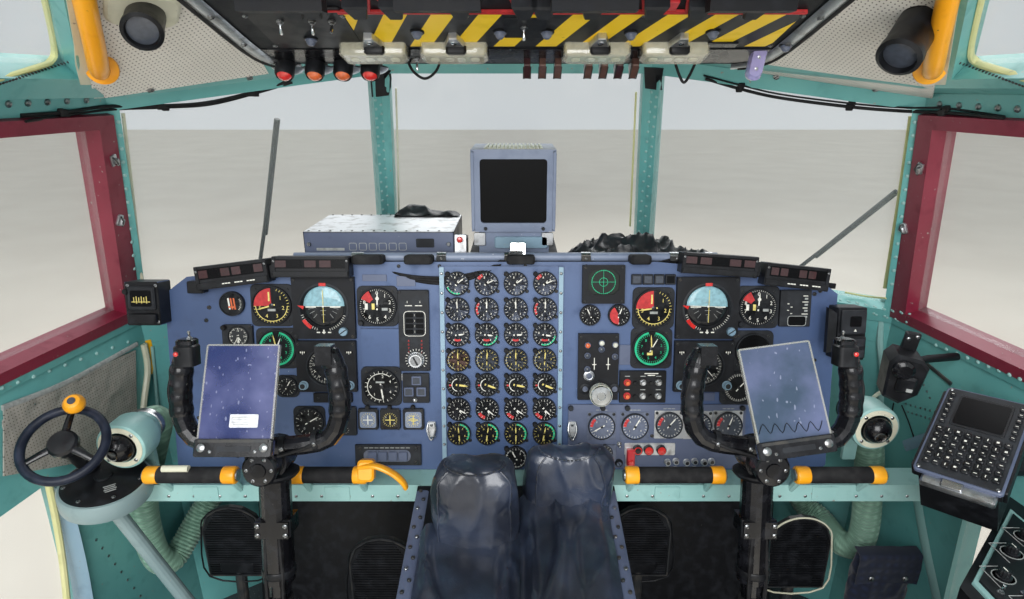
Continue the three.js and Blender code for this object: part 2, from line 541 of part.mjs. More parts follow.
// Nose steering wheel on its stand beside the left seat
const STEER = { at: new THREE.Vector3(-850, 122, 927), down: new THREE.Vector3(-0.2, 0.62, -0.757).normalize() };
const steer = new THREE.Group();
steer.position.copy(STEER.at);
steer.quaternion.setFromUnitVectors(new THREE.Vector3(0, 0, -1), STEER.down);
deck.add(steer);
const rim = solid(new THREE.TorusGeometry(69, 7, 8, 28));
const spokes = [90, 210, 330].map((deg) => {
  const turn = THREE.MathUtils.degToRad(deg);
  return rod([0, 0, 0], [69 * Math.cos(turn), 69 * Math.sin(turn), 0], 6, 8);
});
const steeringWheel = union(
  rim, spokes,
  rod([0, 0, -16], [0, 0, 8], 17, 16),
  rod([0, 0, -60], [0, 0, -10], 9, 12),
  rod([22, 62, 4], [22, 62, 34], 7, 10),
  solid(new THREE.SphereGeometry(13, 14, 8).translate(22, 62, 38)),
);
node("steering_wheel", steeringWheel, black, steer);
const headAt = STEER.at.clone().addScaledVector(STEER.down, 60 + SPLIT_GAP);
const neckEnd = STEER.at.clone().addScaledVector(STEER.down, 150);
node("steering_stand", union(
  rod(headAt.toArray(), neckEnd.toArray(), 15, 14),
  rod([-845, 194, 768], [-842, 190, 800], 78, 26, 80),
  rod([-878, 205, 785], [-633, 278, FLOOR_THICK + 8], 15, 14),
  rod([-633, 278, FLOOR_THICK + SPLIT_GAP], [-633, 278, 92], 42, 18),
), teal);

// Air outlets at the ends of the panel and the hoses that feed them
const outletAt = (x, y, z) => union(
  rod([x, y, z], [x, y + 62, z], 49, 22),
  solid(new THREE.SphereGeometry(30, 16, 10).translate(x, y, z)),
  rod([x, y + 55, z], [x, y + 100, z], 34, 16),
  box(x - 15, x + 15, y + 74, y + 84, BEAM.z1 + SPLIT_GAP, z - 24),
);
const hosePaths = {
  left: [
    [-800, 290, 874], [-812, 345, 850], [-852, 366, 760], [-893, 364, 640], [-905, 368, 535], [-905, 385, 440],
    [-898, 425, 400], [-880, 468, 425], [-858, 510, 468], [-830, 545, 515], [-790, 585, 585], [-745, 618, 655],
    [-700, 655, 710], [-650, 690, 745], [-610, 780, 770],
  ],
  right: [
    [762, 345, 880], [795, 392, 850], [846, 403, 750], [862, 400, 640], [875, 400, 527], [873, 412, 459],
    [860, 455, 428], [855, 510, 422], [848, 552, 430], [820, 588, 446], [795, 608, 495], [755, 628, 590],
    [690, 665, 690], [645, 705, 745], [610, 780, 770],
  ],
};
const airLeft = outletAt(-800, 200, 874).add(bentBar(hosePaths.left, 32, 14, 52));
const airRight = outletAt(762, 262, 880).add(bentBar(hosePaths.right, 32, 14, 52));
node("air_outlet_left", airLeft.intersect(lowRoom), hoseGreen);
node("air_outlet_right", airRight.intersect(lowRoom), hoseGreen);

// Right side: console along the wall, keypad unit, reading lamp and a cloth pouch
const CONSOLE_TOP = 800;
const consolePlan = [[713, -430], [1100, -430], [1100, 254], [713, -98]]; // cut off at 45 degrees at its forward end
const consoleBlock = loft([FLOOR_THICK + SPLIT_GAP, CONSOLE_TOP].map((z) => consolePlan.map(([x, y]) => [x, y, z])));
const KEYPAD = { at: [833, 93, 956], wide: 132, tall: 205, deep: 120 };
const keypadUp = new THREE.Vector3(0.621, 0.614, 0.487);
const keypadOut = new THREE.Vector3(-0.399, -0.287, 0.871);
function keypadBlock(wide, tall, front, back) {
  const across = keypadUp.clone().normalize().cross(keypadOut).normalize();
  const out = across.clone().cross(keypadUp).normalize();
  const place = new THREE.Matrix4().makeBasis(across, keypadUp.clone().normalize(), out).setPosition(...KEYPAD.at);
  return solid(new THREE.BoxGeometry(wide, tall, back - front).translate(0, 0, -(front + back) / 2).applyMatrix4(place));
}
const keypadBody = keypadBlock(KEYPAD.wide, KEYPAD.tall, 0, 14)
  .add(keypadBlock(KEYPAD.wide - 12, KEYPAD.tall - 12, 10, KEYPAD.deep));
const keypadRoom = keypadBlock(KEYPAD.wide + 4, KEYPAD.tall + 4, -2, KEYPAD.deep + 2);
node("side_console", consoleBlock.subtract(keypadRoom).intersect(lowRoom), black);
const keypadArm = rod([880, 110, 890], [1200, 110, 890], 20, 12);
node("keypad_unit", keypadBody.add(keypadArm).intersect(lowRoom), panelBlue);
const lampArm = union(
  rod([806, 280, 960], [796, 262, 1062], 34, 16),
  rod([798, 270, 1024], [1200, 300, 1024], 8, 8).intersect(innerRoom),
);
node("map_lamp", lampArm, black);
const pouchOutline = [[292, 350], [322, 332], [346, 348], [350, 500], [328, 522], [298, 508]];
node("stowage_pouch", profile(pouchOutline, 800, 1100).intersect(lowRoom), paint(0x1d2a4a, 0.9));

// Overhead panel, filling up to the roof
const OVERHEAD = { half: 428, front: { y: 240, z: 1602 }, aft: { y: -380, z: 1785 } };
const topRoom = loft([
  drop(inset(headerRing, WALL + SPLIT_GAP), -30),
  drop(inset(crownRing, ROOF_WALL + SPLIT_GAP), -ROOF_WALL - SPLIT_GAP),
]);
const overheadBody = profile(
  [[OVERHEAD.aft.y, OVERHEAD.aft.z], [OVERHEAD.front.y, OVERHEAD.front.z], [OVERHEAD.front.y, 2000],
    [OVERHEAD.aft.y, 2000]],
  -OVERHEAD.half, OVERHEAD.half,
).intersect(topRoom);
const slope = (y) => OVERHEAD.front.z + ((OVERHEAD.front.y - y) * (OVERHEAD.aft.z - OVERHEAD.front.z)) / 620;
const lampBars = [-224, -97, 127, 250].map((x) => box(x - 49, x + 49, 144, 170, slope(157) - 17, slope(157) + 20));
const fireHandles = [-300, -100, 100, 300].map((x) =>
  box(x - 55, x + 55, -42, -18, slope(-30) - 30, slope(-30) + 20));
node("overhead_panel", union(overheadBody, lampBars, fireHandles), black);

// Grab handles and spotlights under the roof
const handle = bentBar(
  [[-742, 268, 1600], [-705, 225, 1592], [-672, 165, 1640], [-628, 90, 1710], [-588, 40, 1760], [-610, 30, 1805]],
  15, 10, 20,
).intersect(loft([drop(inset(headerRing, WALL - 20), -30), drop(inset(crownRing, ROOF_WALL - 16), -ROOF_WALL)]));
const grab = handle.subtract(roof);
node("grab_handle_left", grab, yellow);
node("grab_handle_right", mirror(grab), yellow);

// Wipers outside the front panes
function wiper(a0, up0, a1, up1) {
  const out = (a, up, d) => {
    const e = [[a, up], [a + 0.1, up], [a + 0.1, up + 0.1], [a, up + 0.1]].map((s) => facetPoint(...frontFacet, ...s));
    const inward = e[1].clone().sub(e[0]).cross(e[3].clone().sub(e[0])).normalize();
    return e[0].addScaledVector(inward, -d).toArray();
  };
  const pivot = out(a0, up0, SPLIT_GAP);
  return union(
    rod(pivot, out(a0, up0, 34), 12, 12),
    rod(out(a0, up0, 26), out((a0 + a1) / 2, (up0 + up1) / 2, 22), 5, 8),
    rod(out(a0 + (a1 - a0) * 0.35, up0 + (up1 - up0) * 0.35, 16), out(a1, up1, 16), 7, 8),
  );
}
node("wiper_left", wiper(0.45, 0.05, 0.59, 0.82), black);
node("wiper_right", mirror(wiper(0.44, 0.05, 0.08, 0.6)), black);

export default deck;
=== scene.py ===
# %% [markdown]
# The forward flight deck of a four-engined military transport plane, dressed for the camera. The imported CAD
# part is the fixed frame: this script gives its walls, panel and controls a finish and adds the dials,
# rivets, hoses, covers and handles that sit on them. Blender works in metres here, and +Z is up, +Y points
# to the nose and +X to the right. The forms are drawn in millimetres, as on a workshop drawing, and are
# scaled once, when a piece becomes an object.

import json
from math import cos, hypot, pi, radians, sin

import bpy
from mathutils import Matrix, Vector, noise
from mathutils.bvhtree import BVHTree

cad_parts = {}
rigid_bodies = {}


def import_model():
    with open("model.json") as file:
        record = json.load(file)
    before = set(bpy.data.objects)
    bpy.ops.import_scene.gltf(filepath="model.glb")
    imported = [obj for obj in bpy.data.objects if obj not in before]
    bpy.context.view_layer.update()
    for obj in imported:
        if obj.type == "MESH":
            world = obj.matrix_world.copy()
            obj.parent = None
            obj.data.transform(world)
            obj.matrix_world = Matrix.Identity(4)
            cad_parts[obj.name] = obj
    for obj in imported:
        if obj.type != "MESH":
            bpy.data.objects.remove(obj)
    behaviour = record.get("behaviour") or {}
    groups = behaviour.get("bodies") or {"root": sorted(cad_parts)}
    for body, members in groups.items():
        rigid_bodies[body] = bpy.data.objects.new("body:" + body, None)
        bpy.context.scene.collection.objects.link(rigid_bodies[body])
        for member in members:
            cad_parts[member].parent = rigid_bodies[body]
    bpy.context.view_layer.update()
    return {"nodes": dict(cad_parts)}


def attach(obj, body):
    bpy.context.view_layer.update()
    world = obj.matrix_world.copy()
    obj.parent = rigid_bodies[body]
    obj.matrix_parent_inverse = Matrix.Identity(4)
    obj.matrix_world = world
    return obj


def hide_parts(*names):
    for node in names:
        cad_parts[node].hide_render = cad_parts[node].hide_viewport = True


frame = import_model()
scene = bpy.context.scene
MM = 0.001

# %% [markdown]
# The photograph was taken from between the seats, with a wide lens that looks a little down. Its focal
# length in pixels came from the sizes of the standard dials: 620 pixels on a picture 1024 wide is a 21.8 mm
# lens on a 36 mm sensor. The optical axis passes 4 pixels right of the picture's middle, which the shift
# takes care of.

# %% Camera
FOCAL = 620.0
CENTRE = (516.0, 299.5)
WIDE = 1024
EYE = Vector((0, -900, 1550))
PITCH = radians(18.2)

lens = bpy.data.cameras.new("camera")
lens.sensor_width = 36
lens.lens = FOCAL / WIDE * lens.sensor_width
lens.shift_x = (WIDE / 2 - CENTRE[0]) / WIDE
lens.clip_start = 0.01
camera = bpy.data.objects.new("camera", lens)
camera.location = EYE * MM
camera.rotation_euler = (pi / 2 - PITCH, 0, 0)
scene.collection.objects.link(camera)
scene.camera = camera
print("camera: lens", round(lens.lens, 2), "mm")

# %% [markdown]
# A cab is lit through its windows and from the open end behind the seats. A pale world gives the even light
# of a hazy day, a wide lamp behind the camera fills the inside, and one above the nose brings light through
# the panes. The area lamps are large, because a small lamp would throw hard shadows that a hazy day doesn't
# have.


# %% Colours and nodes
def linear(code):
    """An sRGB hex colour as the linear values that Blender's sockets take."""
    parts = [int(code[i:i + 2], 16) / 255 for i in (1, 3, 5)]
    return [c / 12.92 if c <= 0.04045 else ((c + 0.055) / 1.055) ** 2.4 for c in parts] + [1.0]


def add(tree, kind, inputs, out=0, **settings):
    """Adds a node and gives one of its outputs. inputs holds a value, or the output that feeds it, for
    each socket."""
    made = tree.nodes.new("ShaderNode" + kind)
    for key, value in settings.items():
        setattr(made, key, value)
    for key, value in inputs.items():
        if isinstance(value, bpy.types.NodeSocket):
            tree.links.new(value, made.inputs[key])
        else:
            made.inputs[key].default_value = value
    return made.outputs[out]


# %% World and lamps
world = bpy.data.worlds.new("haze")
world.use_nodes = True
scene.world = world
world.node_tree.nodes["Background"].inputs["Color"].default_value = linear("#eef3f7")
world.node_tree.nodes["Background"].inputs["Strength"].default_value = 0.72
scene.view_settings.view_transform = "Standard"


def soft_lamp(name, at, towards, size, watts):
    """A square area lamp, size metres wide, that looks at a point."""
    data = bpy.data.lights.new(name, "AREA")
    data.size, data.energy = size, watts
    lamp = bpy.data.objects.new(name, data)
    lamp.location = at
    lamp.rotation_euler = (Vector(towards) - Vector(at)).to_track_quat("-Z", "Y").to_euler()
    scene.collection.objects.link(lamp)
    return lamp


soft_lamp("lamp_behind", (-0.5, -2.9, 2.7), (0, 0.3, 0.9), 2.2, 115)
# The low lamp only fills the shadows: the black tubes and the screens don't mirror it
soft_lamp("lamp_low", (0.7, -2.4, 0.9), (0, 0.4, 0.5), 1.4, 28).visible_glossy = False
soft_lamp("lamp_nose", (0.5, 3.6, 5.2), (0, 0.2, 1.0), 4.5, 260)

# %% [markdown]
# Every finish starts from what the real surface is. What is the same all over sits on the shader's own
# sockets. What changes over the surface, such as fading, grime or grain, comes from patterns in object
# coordinates, which are metres here, so a pattern's scale is one divided by a real size.


# %% A finish and its patterns
def socket(made, name):
    return made.node_tree.nodes["Principled BSDF"].inputs[name]


def finish(name, colour, rough, metal=0.0, **sockets):
    """A new material with one shader. sockets are more of the shader's values, with _ for a space in a
    name."""
    made = bpy.data.materials.new(name)
    made.use_nodes = True
    made.diffuse_color = linear(colour)
    values = {"Base Color": linear(colour), "Roughness": rough, "Metallic": metal, **sockets}
    for key, value in values.items():
        socket(made, key.replace("_", " ")).default_value = value
    return made


def place_of(tree):
    """Where a point of the surface is, in metres in its own object."""
    return add(tree, "TexCoord", {}, "Object")


def blotches(tree, size_mm, low=0.4, high=0.6, detail=3.0, where=None):
    """Soft blotches about size_mm across, from 0 to 1: a value below low is 0 and one above high is 1."""
    cloud = add(tree, "TexNoise", {"Vector": where or place_of(tree), "Scale": 1000 / size_mm,
        "Detail": detail})
    return add(tree, "MapRange", {"Value": cloud, "From Min": low, "From Max": high})


def tint(tree, amount, base, other):
    """Goes from the base colour to the other as amount goes from 0 to 1. Either may be a hex code or an
    output."""
    base, other = (c if isinstance(c, bpy.types.NodeSocket) else linear(c) for c in (base, other))
    return add(tree, "Mix", {0: amount, 6: base, 7: other}, 2, data_type="RGBA")


def soften(tree, amount, most):
    return add(tree, "Math", {0: amount, 1: most}, operation="MULTIPLY")


def colour_so_far(made):
    return socket(made, "Base Color").links[0].from_socket


def set_colour(made, colour):
    made.node_tree.links.new(colour, socket(made, "Base Color"))


def set_rough(made, amount, low, high):
    """Lets the roughness go from low to high with a pattern."""
    spread = add(made.node_tree, "MapRange", {"Value": amount, "To Min": low, "To Max": high})
    made.node_tree.links.new(spread, socket(made, "Roughness"))


def set_relief(made, height, depth_mm):
    """Makes a pattern stand up by depth_mm."""
    bump = add(made.node_tree, "Bump", {"Height": height, "Distance": depth_mm * MM, "Strength": 1})
    made.node_tree.links.new(bump, socket(made, "Normal"))


print("finish tools ready")

# %% [markdown]
# The cab's frames and walls are aluminium sheet under sprayed enamel. Decades of hands and sun leave it
# faded in wide patches, darker with grime in small ones, and chipped here and there to the grey primer. The
# spray leaves an orange peel of about 3 mm, which is too fine for this distance, so it is drawn 6 mm wide
# and 0.05 mm deep.


# %% Sprayed enamel
def enamel(name, colour, faded, grime, rough=0.38, chips=0.70, primer="#8e9088", scuff=0.55):
    """Enamel on sheet metal: colour, what it fades to, what dirt makes of it, and how rare its chips are."""
    made = finish(name, colour, rough, Specular_IOR_Level=0.5, Coat_Weight=0.12, Coat_Roughness=0.25)
    tree = made.node_tree
    base = tint(tree, blotches(tree, 240, 0.35, 0.7), colour, faded)
    dirt = blotches(tree, 34, scuff, scuff + 0.28, 6)
    base = tint(tree, soften(tree, dirt, 0.4), base, grime)
    set_colour(made, tint(tree, blotches(tree, 9, chips, chips + 0.02, 5), base, primer))
    set_rough(made, dirt, rough, rough + 0.3)
    set_relief(made, blotches(tree, 6, 0.2, 0.8, 1), 0.05)
    return made


TEAL_PALE = enamel("enamel_pale_green", "#84b0ad", "#9cc2be", "#5a807d", 0.42)
MAROON = enamel("enamel_maroon", "#741930", "#8a2c41", "#4a1022", 0.42)
BLUE = enamel("enamel_panel_blue", "#3d5075", "#4b6086", "#2a3753", 0.45, 0.74, "#a9b0bb")
BLUE_GREY = enamel("enamel_blue_grey", "#4a536b", "#5c657c", "#343b50", 0.5, 0.75, "#9aa0ac")
BLUE_LIGHT = enamel("enamel_light_blue", "#7895a8", "#8ba6b6", "#586f80", 0.45)
CASE_BLUE = enamel("enamel_case_blue", "#6c7890", "#7f8a9f", "#515b70", 0.42, 0.72, "#b5bac4")
CREAM = enamel("enamel_cream", "#c9c8b0", "#d8d6c2", "#8f8d78", 0.4)
GUARD_YELLOW = enamel("enamel_handle_yellow", "#ee9d10", "#f5ae2c", "#a8690a", 0.34, 0.72, "#7c5a1a")
STRAP_YELLOW = enamel("nylon_yellow", "#e8b012", "#efbd33", "#9a7312", 0.7)
RED = enamel("enamel_red", "#b5202a", "#c93a40", "#6f141b", 0.35)
SKIN = enamel("enamel_outer_grey", "#7f888d", "#949da2", "#5c6468", 0.4)
PUTTY = enamel("window_putty_olive", "#c9c98a", "#dcd9a6", "#8f8f4d", 0.6)
HULL = enamel("enamel_hull_two_sides", "#5c9f9e", "#72b2ae", "#3f6d6d", 0.36)
GREY_GREEN = enamel("enamel_grey_green", "#71878a", "#86999a", "#4b5a5c", 0.4)
FLOOR_PAINT = enamel("floor_paint_dark", "#2f3438", "#41474b", "#1b1d1f", 0.65, 0.66, "#6c6f70")

# Hull sheets are green inside and grey outside: the outer faces look away from the cab's middle
tree = HULL.node_tree
place = tree.nodes.new("ShaderNodeNewGeometry")
away = add(tree, "VectorMath", {0: place.outputs["Position"], 1: (0, -0.1, 1.1)}, operation="SUBTRACT")
facing = add(tree, "VectorMath", {0: away, 1: place.outputs["True Normal"]}, "Value", operation="DOT_PRODUCT")
outer = add(tree, "Math", {0: facing, 1: 0.0}, operation="GREATER_THAN")
fall = add(tree, "Mapping", {"Vector": place_of(tree), "Scale": (1, 1, 0.1)})
weathered = tint(tree, blotches(tree, 420, 0.3, 0.7, 4), "#868f93", "#a2abaf")
weathered = tint(tree, soften(tree, blotches(tree, 46, 0.5, 0.85, 5, fall), 0.55), weathered, "#5f676a")
weathered = tint(tree, blotches(tree, 12, 0.7, 0.72, 5), weathered, "#b9bdb6")
set_colour(HULL, tint(tree, outer, colour_so_far(HULL), weathered))
print("enamels:", len([m for m in bpy.data.materials if m.name.startswith("enamel")]))

# %% [markdown]
# Instrument cases and boxes wear wrinkle paint, which dries into a fine crackle that scatters the light.
# Controls are smooth black paint over tube, polished by hands and dusty where no hand goes. Knobs and
# housings are moulded.


# %% Black finishes and rubber
def black(name, colour, worn, rough, grain_mm, depth_mm, coat=0.0, scratches=0.0):
    """A dark finish: its colour, the colour of dust and wear, its gloss, and how coarse and deep its
    grain is."""
    made = finish(name, colour, rough, Coat_Weight=coat, Coat_Roughness=0.12, Specular_IOR_Level=0.3)
    tree = made.node_tree
    dust = blotches(tree, 26, 0.46, 0.8, 6)
    base = tint(tree, dust, colour, worn)
    if scratches:
        base = tint(tree, blotches(tree, 7, scratches, scratches + 0.03, 7), base, "#7d7b76")
    set_colour(made, base)
    set_rough(made, dust, rough, rough + 0.22)
    set_relief(made, blotches(tree, grain_mm, 0.25, 0.75, 2), depth_mm)
    return made


CRACKLE = black("wrinkle_paint_black", "#121317", "#25272c", 0.55, 1.6, 0.12)
GLOSS_BLACK = black("control_paint_black", "#0d0d10", "#202126", 0.22, 5, 0.06, 0.35, 0.73)
SATIN_BLACK = black("satin_paint_black", "#101114", "#222429", 0.42, 3, 0.05, 0.05, 0.76)
PHENOLIC = black("phenolic_black", "#111215", "#26272b", 0.32, 2.4, 0.04, 0.25)
RUBBER = black("rubber_black", "#18181a", "#343434", 0.75, 1.5, 0.1)
CASE_GREY = black("instrument_case_grey", "#1e2024", "#32353a", 0.5, 2, 0.05)
NAVY_BLACK = black("anodised_blue_black", "#171c29", "#282f40", 0.38, 2.2, 0.03)
STEEL_DARK = black("oiled_steel", "#2d2f31", "#4a4640", 0.4, 3, 0.06, 0.1, 0.72)
print("black finishes made")

# %% [markdown]
# Bare metal here is brushed aluminium and turned steel. Brushing leaves lines along one way only, so its
# noise is stretched. Dial faces are matt lacquer behind glass: a coat on the lacquer gives the glass its
# reflection without a second surface over every face.


# %% Metals, lacquers and lamps
def brushed(name, colour, rough, stretch=(1, 60, 60)):
    """Brushed metal: fine lines along X, and stains about 20 mm across."""
    made = finish(name, colour, rough, 1.0)
    tree = made.node_tree
    run = add(tree, "Mapping", {"Vector": place_of(tree), "Scale": stretch})
    lines = blotches(tree, 30, 0.3, 0.7, 2, run)
    set_colour(made, tint(tree, blotches(tree, 22, 0.5, 0.85, 5), colour, "#77736c"))
    set_rough(made, lines, rough - 0.08, rough + 0.16)
    set_relief(made, lines, 0.02)
    return made


ALUMINIUM = brushed("aluminium_brushed", "#c9ccd0", 0.34)
SILVER_PAINT = brushed("aluminium_top_sheet", "#d9dbdd", 0.42)
STEEL = brushed("steel_turned", "#a6a8aa", 0.28, (40, 40, 1))
CHROME = brushed("chrome_plate", "#dfe3e6", 0.12, (1, 1, 1))


def lacquer(name, colour, rough=0.5, coat=0.7, specular=0.35):
    """Printed or sprayed lacquer under dial glass, a little darker in specks."""
    made = finish(name, colour, rough, Coat_Weight=coat, Coat_Roughness=0.04, Specular_IOR_Level=specular)
    tree = made.node_tree
    darker = "#" + "".join(f"{int(int(colour[i:i + 2], 16) * 0.82):02x}" for i in (1, 3, 5))
    set_colour(made, tint(tree, blotches(tree, 8, 0.4, 0.75, 4), colour, darker))
    return made


FACE = lacquer("dial_face_black", "#111317")
FACE_GREY = lacquer("dial_face_grey", "#3c424d")
FACE_BROWN = lacquer("dial_face_brown", "#5b4038")
FACE_STEEL = lacquer("dial_face_slate", "#5d6578")
FACE_BURNT = lacquer("annunciator_unlit", "#3a1e20")
MARK = lacquer("dial_white", "#e9e8de", 0.6, 0.2)
MARK_DIM = lacquer("dial_grey_white", "#a3a6a4", 0.6, 0.2)
MARK_YELLOW = lacquer("dial_yellow", "#e3d27a", 0.6, 0.2)
MARK_GREEN = lacquer("dial_green", "#25b886", 0.6, 0.2)
MARK_RED = lacquer("dial_red", "#c03436", 0.6, 0.2)
HORIZON_SKY = lacquer("horizon_blue", "#8db9c4")
LAMP_RED = lacquer("lens_red", "#d2302c", 0.2, 1.0)
LAMP_ORANGE = lacquer("lens_orange", "#d8693a", 0.2, 1.0)
LAMP_GLASS = lacquer("lamp_block_glass", "#a39f86", 0.2, 1.0)
LAMP_CLEAR = lacquer("lens_clear", "#cfd0c2", 0.15, 1.0)
SCREEN = lacquer("screen_black", "#050608", 0.3, 0.05, 0.15)
SCREEN_GREEN = lacquer("screen_green_black", "#0b1810", 0.5, 0.1)
PAPER = lacquer("sticker_white", "#dddfe4", 0.7, 0.0)
print("lacquers and metals made")

# %% [markdown]
# The panes are thick laminated glass. A pane that bends light would darken the cab in a path tracer,
# because lamps are not seen through it, so the panes let most light straight through with alpha and keep a
# sharp reflection. The chart boards are violet-blue acrylic, scratched by years of paper and pencils.


# %% Clear materials
def clear(name, colour, alpha, rough, scratches_mm=0.0, gloss=1.0):
    """A see-through sheet: alpha is how much of it is seen, and scratches_mm the pitch of fine pale
    scratches."""
    made = finish(name, colour, rough, Alpha=alpha, Specular_IOR_Level=0.8 * gloss, Coat_Weight=gloss,
        Coat_Roughness=0.03)
    tree = made.node_tree
    smear = blotches(tree, 90, 0.4, 0.8, 5)
    set_rough(made, smear, rough, rough + 0.15)
    if scratches_mm:
        for lean in (0.7, -0.4, 1.9):
            run = add(tree, "Mapping", {"Vector": place_of(tree), "Rotation": (0, lean, 0),
                "Scale": (1, 1, 0.06)})
            line = blotches(tree, scratches_mm, 0.74, 0.75, 1, run)
            colour = tint(tree, soften(tree, line, 0.3), colour, "#c9cee6")
        set_colour(made, tint(tree, soften(tree, smear, 0.5), colour, "#8f93c4"))
    return made


PANE = clear("laminated_glass", "#e8f2f0", 0.10, 0.03)
BOARD = clear("acrylic_violet", "#2f3866", 0.8, 0.14, 7, 0.3)
BOARD_DARK = clear("acrylic_smoke", "#3d4e62", 0.84, 0.1, 9, 0.4)
LENS = clear("lamp_cover_clear", "#d8d6c4", 0.35, 0.08)
print("clear materials made")

# %% [markdown]
# The levers' covers are sewn from glossy navy-black leathercloth. Its pebbles are about 2 mm wide, drawn 3
# mm here so that they show, over soft creases some 40 mm apart. The roof lining and the blanket on the left
# wall are perforated: holes every 7 mm, drawn 2.4 mm wide. The hoses and the bag are woven cloth.


# %% Leathercloth, linings and hose
def leathercloth(name, colour, painted_sheen, grain_mm, coat, creases=1.0):
    """Embossed leathercloth: pebbled grain, creases, and rubbed patches that are glossier and painted
    lighter, a painted sheen.
    """
    made = finish(name, colour, 0.36, Coat_Weight=coat, Coat_Roughness=0.22, Specular_IOR_Level=0.6)
    tree = made.node_tree
    pebbles = add(tree, "TexVoronoi", {"Vector": place_of(tree), "Scale": 1000 / grain_mm})
    folds = blotches(tree, 46, 0.25, 0.75, 2)
    fine = add(tree, "Math", {0: pebbles, 1: 0.06}, operation="MULTIPLY")
    lifted = add(tree, "Math", {0: folds, 1: creases, 2: fine}, operation="MULTIPLY_ADD")
    rubbed_and_painted_sheen = blotches(tree, 110, 0.42, 0.72, 3)
    # Rubbed patches are glossier, and their lighter colour is a painted sheen
    set_colour(made, tint(tree, rubbed_and_painted_sheen, colour, painted_sheen))
    set_rough(made, rubbed_and_painted_sheen, 0.42, 0.26)
    set_relief(made, lifted, 3.0)
    return made


def holes(tree, pitch_mm, hole_mm, axes):
    """1 inside round holes on a square grid and 0 between them, counted along two axes of the object."""
    split = add(tree, "SeparateXYZ", {0: place_of(tree)}).node
    squares = []
    for axis in axes:
        turn = add(tree, "Math", {0: split.outputs[axis], 1: pitch_mm * MM}, operation="FLOORED_MODULO")
        middle = add(tree, "Math", {0: turn, 1: pitch_mm * MM / 2}, operation="SUBTRACT")
        squares.append(add(tree, "Math", {0: middle, 1: 2.0}, operation="POWER"))
    total = add(tree, "Math", {0: squares[0], 1: squares[1]}, operation="ADD")
    return add(tree, "Math", {0: total, 1: (hole_mm * MM / 2) ** 2}, operation="LESS_THAN")


LEATHER = leathercloth("leathercloth_navy_black", "#181d29", "#313a4d", 3.0, 0.5, 0.6)
CANVAS_BLACK = leathercloth("cover_cloth_black", "#121417", "#23262b", 2.0, 0.0, 1.6)
LINING = leathercloth("leathercloth_beige", "#dbd7cf", "#e6e2da", 2.0, 0.0, 0.7)
BLANKET = leathercloth("blanket_perforated_grey", "#9c9890", "#aaa69d", 2.0, 0.0, 1.4)
for cloth, axes in ((LINING, (0, 1)), (BLANKET, (1, 2))):
    dots = holes(cloth.node_tree, 7, 2.4, axes)
    set_colour(cloth, tint(cloth.node_tree, dots, colour_so_far(cloth), "#55504a"))


def woven(name, colour, dark, thread_mm, rough=0.85):
    """Plain woven cloth: threads over and under in both ways, drawn at thread_mm."""
    made = finish(name, colour, rough, Sheen_Weight=0.25)
    tree = made.node_tree
    waves = [add(tree, "TexWave", {"Vector": place_of(tree), "Scale": 50 / thread_mm, "Distortion": 0.6},
        bands_direction=way) for way in "XZ"]
    both = add(tree, "Math", {0: waves[0], 1: waves[1]}, operation="MULTIPLY")
    set_colour(made, tint(tree, both, dark, tint(tree, blotches(tree, 60, 0.4, 0.7, 4), colour, dark)))
    set_relief(made, both, 0.4)
    return made


HOSE = woven("hose_fabric_green", "#93b9a3", "#6c917e", 3.0, 0.7)
POUCH_CLOTH = woven("pouch_cloth_navy", "#1c2848", "#10182c", 3.0)
CABLE_BLACK = black("cable_sleeve_black", "#121214", "#2a2a2c", 0.5, 2, 0.08)
print("cloths and linings made")

# %% [markdown]
# The band round the overhead handles is warning paint: black and yellow bars 76 mm long across the panel,
# which lean forward. A single test on x and y decides the colour, and the same enamel patterns wear it.

# %% Warning bars
BAR_MM = 76
WARNING = enamel("enamel_warning_bars", "#f2c70c", "#f6d22c", "#b89a12", 0.5, 0.73, "#4b4630")
tree = WARNING.node_tree
split = add(tree, "SeparateXYZ", {0: place_of(tree)}).node
lean = add(tree, "Math", {0: split.outputs[0], 1: 2.3, 2: split.outputs[1]}, operation="MULTIPLY_ADD")
turn = add(tree, "Math", {0: lean, 1: 2 * BAR_MM * MM}, operation="FLOORED_MODULO")
bar = add(tree, "Math", {0: turn, 1: BAR_MM * MM}, operation="LESS_THAN")
set_colour(WARNING, tint(tree, bar, colour_so_far(WARNING), "#17181a"))
print("warning bars", BAR_MM, "mm long each way up the panel")

# %% [markdown]
# The CAD nodes that already have the right shape only need their finish. A node has one material, so what
# has several colours on the real thing, such as a dial on a blue panel, gets its own piece further down.

# %% Finish of the CAD nodes that stay
NODE_FINISHES = {
    FLOOR_PAINT: "deck_floor", HULL: "hull_wall_left hull_wall_right nose_wall windshield_frame roof_shell",
    MAROON: "window_seal_left window_seal_right", BLUE: "instrument_panel engine_panel",
    BLUE_GREY: "lower_subpanel", TEAL_PALE: "footrest_beam", NAVY_BLACK: "radio_box",
    CRACKLE: "attitude_indicator_left attitude_indicator_right heading_indicator_left "
             "heading_indicator_right radar_scope gear_lever_panel coaming overhead_panel",
    SATIN_BLACK: "pedal_frame_left pedal_frame_right pedestal side_console keypad_unit wiper_left "
                 "wiper_right map_lamp",
    CASE_BLUE: "display_unit", GREY_GREEN: "steering_stand", PHENOLIC: "steering_wheel",
    GUARD_YELLOW: "grab_handle_left grab_handle_right", BOARD: "chart_board_left",
    GLOSS_BLACK: "column_left column_right yoke_left yoke_right", BOARD_DARK: "chart_board_right",
    LEATHER: "throttle_cover flap_cover", POUCH_CLOTH: "stowage_pouch",
    HOSE: "air_outlet_left air_outlet_right",
}
finish_by_node = {name: made for made, names in NODE_FINISHES.items() for name in names.split()}
for name, obj in frame["nodes"].items():
    obj.data.materials.clear()
    obj.data.materials.append(finish_by_node.get(name, PANE if name.startswith("glass") else STEEL_DARK))
print("finished nodes:", len(frame["nodes"]))

